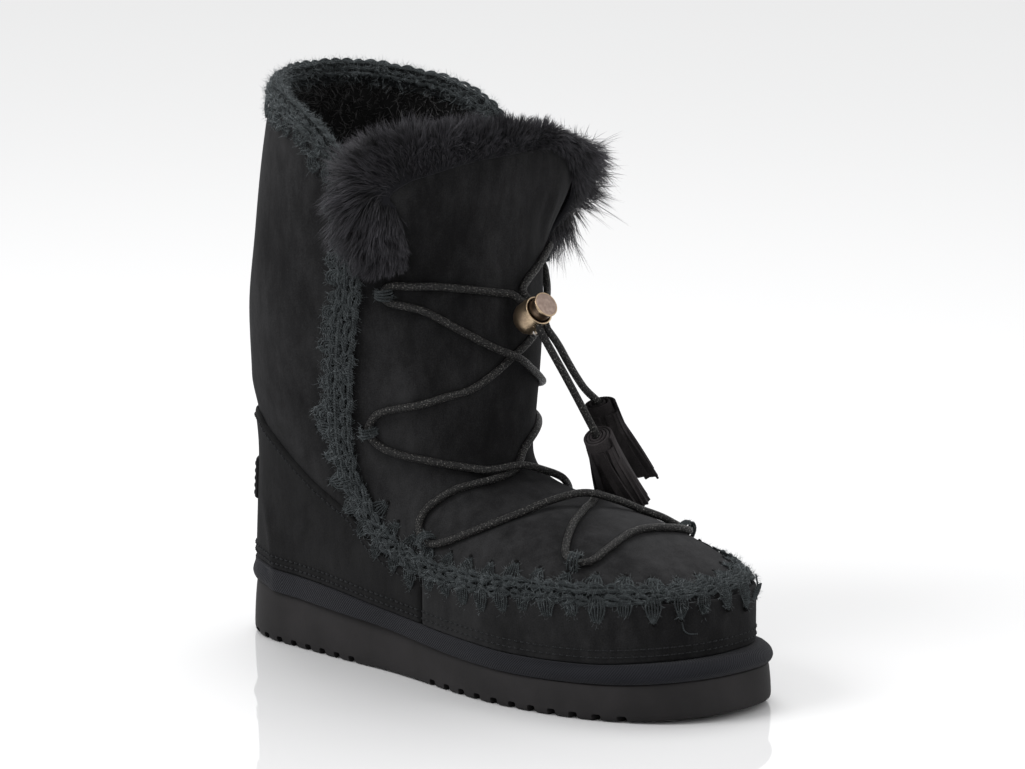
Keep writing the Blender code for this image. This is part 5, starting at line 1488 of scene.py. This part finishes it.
# %% Lace rod and loops
LACE_ROUTE = (
    # x, y, height, lift over the suede, held by a loop
    (108.8, -1.8, 171.4, 4.2, 0), (106.0, -8.0, 172.6, 3.0, 0), (101.5, -23.0, 175.5, 3.0, 0),
    (93.0, -36.0, 177.5, 3.6, 0), (85.0, -43.5, 177.5, 3.6, 0), (79.0, -48.0, 177.6, 3.4, 0),
    (76.0, -49.3, 176.3, 3.0, 0), (74.8, -49.9, 173.4, 3.0, 1), (76.0, -49.3, 170.5, 3.0, 0),
    (79.5, -47.5, 169.2, 3.0, 0), (89.6, -39.7, 166.4, 3.0, 0), (99.3, -27.8, 158.0, 3.0, 0),
    (105.0, -13.0, 149.0, 4.8, 0), (107.0, -1.0, 143.0, 7.3, 0), (105.0, 13.0, 135.0, 4.0, 0),
    (99.6, 25.7, 128.5, 3.0, 0), (88.0, 38.5, 123.5, 3.0, 0), (73.0, 46.8, 119.5, 3.0, 0),
    (66.5, 49.0, 117.5, 3.0, 0), (64.0, 49.5, 113.8, 3.0, 1), (66.5, 49.0, 110.2, 3.0, 0),
    (72.5, 46.6, 108.6, 3.0, 0), (86.0, 37.0, 107.0, 3.0, 0), (98.0, 24.0, 105.0, 3.0, 0),
    (103.6, 10.4, 99.0, 3.0, 0), (109.0, -0.5, 92.8, 2.5, 0), (109.4, -14.6, 90.0, 3.2, 0),
    (99.8, -29.6, 86.3, 3.0, 0), (91.7, -38.1, 78.8, 3.0, 0), (89.2, -41.8, 72.2, 3.0, 0),
    (91.8, -44.6, 67.0, 3.0, 0), (96.5, -45.8, 64.6, 3.0, 1), (102.0, -46.2, 64.4, 3.0, 0),
    (112.3, -44.8, 68.1, 3.0, 0), (125.1, -39.0, 74.6, 3.0, 0), (135.2, -26.4, 80.5, 3.0, 0),
    (140.9, -10.1, 83.3, 4.8, 0), (147.0, 3.0, 82.5, 7.3, 0), (152.3, 17.5, 80.4, 4.8, 0),
    (157.5, 28.0, 76.0, 3.0, 0), (161.5, 36.0, 70.0, 3.0, 0), (165.0, 40.6, 65.6, 3.0, 0),
    (169.6, 42.0, 63.6, 3.0, 1), (174.2, 40.0, 65.2, 3.0, 0), (177.5, 34.0, 69.0, 3.0, 0),
    (179.0, 25.0, 72.4, 3.0, 0), (178.6, 12.0, 74.8, 3.0, 0), (179.0, -1.2, 74.6, 3.0, 0),
    (182.9, -21.1, 70.9, 3.0, 0), (183.6, -28.6, 68.4, 3.0, 0), (182.0, -33.2, 66.8, 3.0, 0),
    (177.8, -35.6, 66.4, 3.0, 1), (173.4, -35.6, 66.9, 3.0, 0), (168.9, -32.2, 71.4, 3.0, 0),
    (160.6, -19.1, 78.1, 3.0, 0), (154.0, -5.0, 81.4, 3.0, 0), (148.5, 6.0, 82.3, 2.5, 0),
    (140.0, 18.0, 80.5, 3.0, 0), (128.0, 30.5, 75.0, 3.2, 0), (115.0, 41.0, 68.5, 3.0, 0),
    (108.0, 45.0, 65.3, 3.0, 0), (103.0, 46.0, 64.3, 3.0, 1), (99.0, 45.2, 66.6, 3.0, 0),
    (100.0, 42.5, 71.0, 3.0, 0), (106.0, 37.0, 77.0, 3.0, 0), (113.0, 25.0, 85.0, 3.6, 0),
    (113.5, 12.0, 89.7, 4.8, 0), (111.5, -1.5, 91.3, 7.3, 0), (105.5, -15.0, 92.5, 5.0, 0),
    (98.3, -24.3, 95.5, 3.0, 0), (88.9, -34.2, 97.8, 3.0, 0), (74.8, -43.7, 101.0, 3.0, 0),
    (67.3, -47.3, 104.8, 3.0, 0), (63.8, -48.8, 109.8, 3.0, 1), (66.2, -49.0, 115.2, 3.0, 0),
    (72.0, -47.6, 119.8, 3.0, 0), (86.6, -39.6, 123.7, 3.0, 0), (95.0, -31.4, 127.3, 3.0, 0),
    (101.6, -22.4, 130.2, 3.2, 0), (105.6, -12.0, 136.3, 3.2, 0), (107.0, -1.0, 142.8, 3.0, 0),
    (105.0, 11.0, 148.5, 3.0, 0), (101.0, 22.0, 155.5, 3.0, 0), (93.0, 35.0, 165.0, 3.0, 0),
    (83.5, 44.5, 172.8, 3.0, 0), (78.5, 48.0, 175.5, 3.0, 0), (76.0, 49.4, 179.2, 3.0, 1),
    (78.5, 48.0, 183.2, 3.0, 0), (84.5, 44.0, 185.6, 3.0, 0), (94.0, 34.0, 186.5, 3.0, 0),
    (102.5, 20.5, 181.0, 3.0, 0), (106.0, 11.0, 176.5, 3.0, 0), (108.8, 5.0, 172.4, 4.4, 0),
)


def lace():
    table = np.array(LACE_ROUTE)
    points = settle(table[:, :3], table[:, 3] - 1.2)
    start, end = at_lock(-2.0, 6.6, 2.0), at_lock(2.0, 6.6, 2.0)
    whole = along(np.array([start, *points, end]), 1.7)
    made = Shape().rod(whole, CORD_RADIUS, 12).build("lace", LACE, "lace_leather",
                                                     replaces=("lace_crossings",))
    print("lace", round(float(length_of(whole)[-1])), "mm")
    for number, row in enumerate(np.flatnonzero(table[:, 4]), 1):
        foot = settle(points[row])
        up = normal_at(foot)
        across = unit(np.cross(up, points[row + 1] - points[row - 1]))
        ahead = unit(np.cross(across, up))
        bundle = Shape()
        for strand, side in enumerate((-1.9, -0.65, 0.6, 1.85)):
            wide, tall = 3.9 - 0.3 * (strand % 2), 5.6 + 0.3 * (strand % 2)
            arch = [foot + ahead * side * (1.0 + 0.25 * math.cos(turn)) + across * wide * math.cos(turn)
                    + up * (0.1 + tall * math.sin(turn)) for turn in np.linspace(-0.05, math.pi + 0.05, 14)]
            bundle.rod(arch, 0.5, 6)
        made = bundle.build(f"loop_{number}", YARN, "yarn", replaces=(f"lace_loop_{number}",))
        fuzz(f"loop_fuzz_{number}", made, 130 + number, 6.0e5, 2.4)


lace()

# %% [markdown]
# ## Cord lock
# The lock is a small turned barrel of brass, with a push button held out by a spring. Both are profiles turned
# round one axis. The button belongs to its own body, which slides into the barrel.


# %% Turned parts
def turned(name, profile, finish, body, replaces, segments=64):
    """A profile of radius and height in millimetres, turned round the lock's axis."""
    turns = 2 * np.pi * np.arange(segments) / segments
    rows = []
    for radius, height in profile:
        ring = np.column_stack([radius * np.cos(turns), radius * np.sin(turns), np.full(segments, height)])
        rows.append([np.array(LOCK_PLACE @ (Vector(point) * MM)) / MM for point in ring])
    made = Shape().grid(rows, closed=True).plain(name, finish)
    face_outwards(made.data, weld=True)
    made.data.set_sharp_from_angle(angle=math.radians(30))
    return dress(made, body, replaces)


dome = [(7.7 * math.sin(turn), -7.7 * math.cos(turn)) for turn in np.linspace(0.0, 0.5 * np.pi, 20)]
barrel = dome + [(7.68, 1.0), (7.6, 2.0), (7.45, 3.2), (7.2, 4.6), (6.98, 5.8), (6.9, 6.5), (6.85, 6.85),
                 (6.7, 7.0), (6.3, 7.0), (6.1, 6.85), (6.1, -1.5), (0.0, -1.5)]
turned("lock_barrel", barrel, BRASS, "boot", ("lock_body",))
turned("button_stem", [(0.0, 2.2), (5.1, 2.2), (5.3, 2.4), (5.3, 11.65), (0.0, 11.65)], BUTTON_NECK, "button",
       ("lock_button",))
turned("button_cap",
       [(0.0, 11.6), (5.3, 11.6), (5.75, 11.7), (5.9, 11.9), (5.9, 12.5), (5.72, 12.72), (5.35, 12.74),
        (5.25, 12.5), (0.0, 12.5)],
       BUTTON_EDGE, "button", ())
turned("button_face", [(0.0, 12.1), (5.28, 12.1), (5.28, 12.66), (5.1, 12.7), (0.0, 12.66)], BUTTON_FACE,
       "button", ())
hook = [at_lock(-2.4 + 2.0 * math.cos(turn), -8.2 - 1.3 * math.sin(turn), 2.6 - 0.9 * math.sin(turn))
        for turn in np.linspace(-0.2, math.pi + 0.2, 14)]
Shape().rod(hook, 0.42, 8).build("lock_ring", NICKEL, "lock_brass")

# %% [markdown]
# ## Fur
# Long shaggy fur edges the front flap. A skin follows the flap's edge and fills the place of the solid, and
# thousands of fine ribbons grow from it in clumps, combed away from the edge.

# %% Fur skin
FUR_ALONG = (
    # part of the way from the outer foot, width on the suede, room beyond the edge, thickness, length of the hair
    (0.0, 15.0, 0.08, 0.5, 0.8), (0.08, 20.0, 0.1, 0.8, 1.0), (0.16, 20.0, 0.3, 0.8, 1.0),
    (0.22, 16.0, 0.8, 0.8, 1.0), (0.3, 10.0, 1.0, 0.8, 0.9), (0.4, 7.0, 1.0, 0.8, 0.7),
    (0.52, 5.0, 0.8, 0.8, 0.6), (0.6, 4.0, 0.5, 0.8, 0.5), (0.68, 4.0, 0.2, 0.8, 0.5),
    (0.74, 8.0, 0.3, 1.0, 0.9), (0.82, 15.0, 0.8, 1.8, 1.7), (0.9, 17.0, 1.0, 2.2, 2.3),
    (1.0, 12.0, 0.6, 2.0, 2.3),
)
FUR_SECTION = (
    # beyond the edge, out of the suede, part of the full length of the hair
    (-20.0, 0.8, 0.3), (-19.0, 1.8, 0.35), (-13.0, 3.4, 0.4), (-6.0, 4.8, 0.5), (1.0, 5.6, 0.8),
    (6.0, 4.4, 1.0), (8.5, 1.2, 1.0), (8.0, -3.5, 1.0), (4.0, -8.0, 0.8), (-3.0, -10.0, 0.6),
    (-8.0, -9.4, 0.3), (-9.5, -7.6, 0.0), (1.5, -7.6, 0.0), (1.5, 0.8, 0.0),
)
FUR_LAYERS = (
    # hairs to a square metre, width in metres, stray, part of the length
    (4.6e5, 0.00026, 0.3, 1.0), (2.4e5, 0.0002, 0.5, 1.1), (4.6e5, 0.00026, 0.3, 1.0),
)
FUR_LONG = 11.0
FAR_SIDE, FORWARD = 74.0, 0.6


def fur_path():
    outer = [upper_at(np.array([(71.4, -90.0)]), height)[0]
             for height in (183.5, 189.0, 195.0, 202.0, 209.0, 216.0)]
    inner = [upper_at(np.array([(71.4, 90.0)]), height)[0] for height in (201.0, 196.0, 190.0, 184.0)]
    turns = (-57.5, -55, -51, -45, -39, -31, -21, -10, 0, 10, 20, 29, 36, 42, 47, 51, 55)
    return along(outer + list(on_upper(16, np.radians(turns))) + inner, 3.0)


fur_line = fur_path()
fur_up = normal_at(fur_line)
at = np.arange(len(fur_line))
fur_ahead = unit(fur_line[np.minimum(at + 4, at[-1])] - fur_line[np.maximum(at - 4, 0)])
fur_across = unit(np.cross(fur_up, fur_ahead))
fur_way = at / at[-1]
ways, *columns = np.array(FUR_ALONG).T
fur_width, fur_room, fur_thick, fur_long = (np.interp(fur_way, ways, column) for column in columns)
taper = np.minimum(1.0, 0.35 + 10.0 * np.minimum(fur_way, 1.0 - fur_way))
rows = []
for across, up, lock in FUR_SECTION:
    sideways = np.full(len(at), across)
    if across > 1.5:
        sideways = 2.4 + (across - 2.4) * fur_room
    elif across < 0 < up:
        sideways = across * fur_width / 20.0
    outward = np.maximum(up * fur_thick * taper, 0.8) if lock and up > 0 else np.full(len(at), up)
    flat = fur_line + fur_across * sideways[:, None]
    if across > 0:
        rows.append(flat + fur_up * outward[:, None])
    else:
        foot = settle(flat)
        rows.append(foot + normal_at(foot) * outward[:, None])
rows = np.swapaxes(np.array(rows), 0, 1)
fur_skin = Shape().grid(rows, closed=True, caps=True).build("fur_skin", FUR_SKIN, "fur",
                                                            replaces=("fur_trim",))

# %% Fur hairs
skin_points = spots(fur_skin)
station = np.repeat(at, len(FUR_SECTION))
across, up, lock = (np.tile(column, len(at)) for column in np.array(FUR_SECTION).T)
centre = (fur_line + fur_across * -4.0 + fur_up * -1.5)[station]
out = unit(skin_points - centre)
flow = fur_across[station]
room = fur_room[station]
on_face = (across < 0) & (up > 0)
lying = np.where(on_face, 1.15, 0.65) * (0.15 + 0.85 * room)
wing = (ramp(fur_way, (0.55, 0.72)) * (1.0 - ramp(fur_way, (0.8, 0.92))))[station]
hang = np.array([0.0, 0.0, -1.0]) * (0.5 * (1.0 - room) + 0.1 + 0.5 * wing)[:, None]
comb = unit(out * np.where(on_face, 0.45, 0.8)[:, None] + flow * lying[:, None] + hang)
length = (2.5 + FUR_LONG * lock) * np.sqrt(taper[station]) * fur_long[station]
fall = np.tile([0.0, 0.0, -1.0], (len(skin_points), 1)) + flow * 0.5 * room[:, None]
fur_tuft = tuft("fur_tuft", 3, 5.0)
for number, (density, width, stray, part) in enumerate(FUR_LAYERS):
    piece = grow(f"fur_hair_{number + 1}", fur_skin, comb, length * part, fall, FUR_HAIR, fur_tuft,
                 Density=density, Width=width, Spread=stray, Clump=1.3, Droop=0.25, Seed=40 + number,
                 Clump_Size=110.0)
    sweep_forward(piece, FAR_SIDE, FORWARD)
    dress(piece)
bpy.data.objects.remove(fur_tuft)
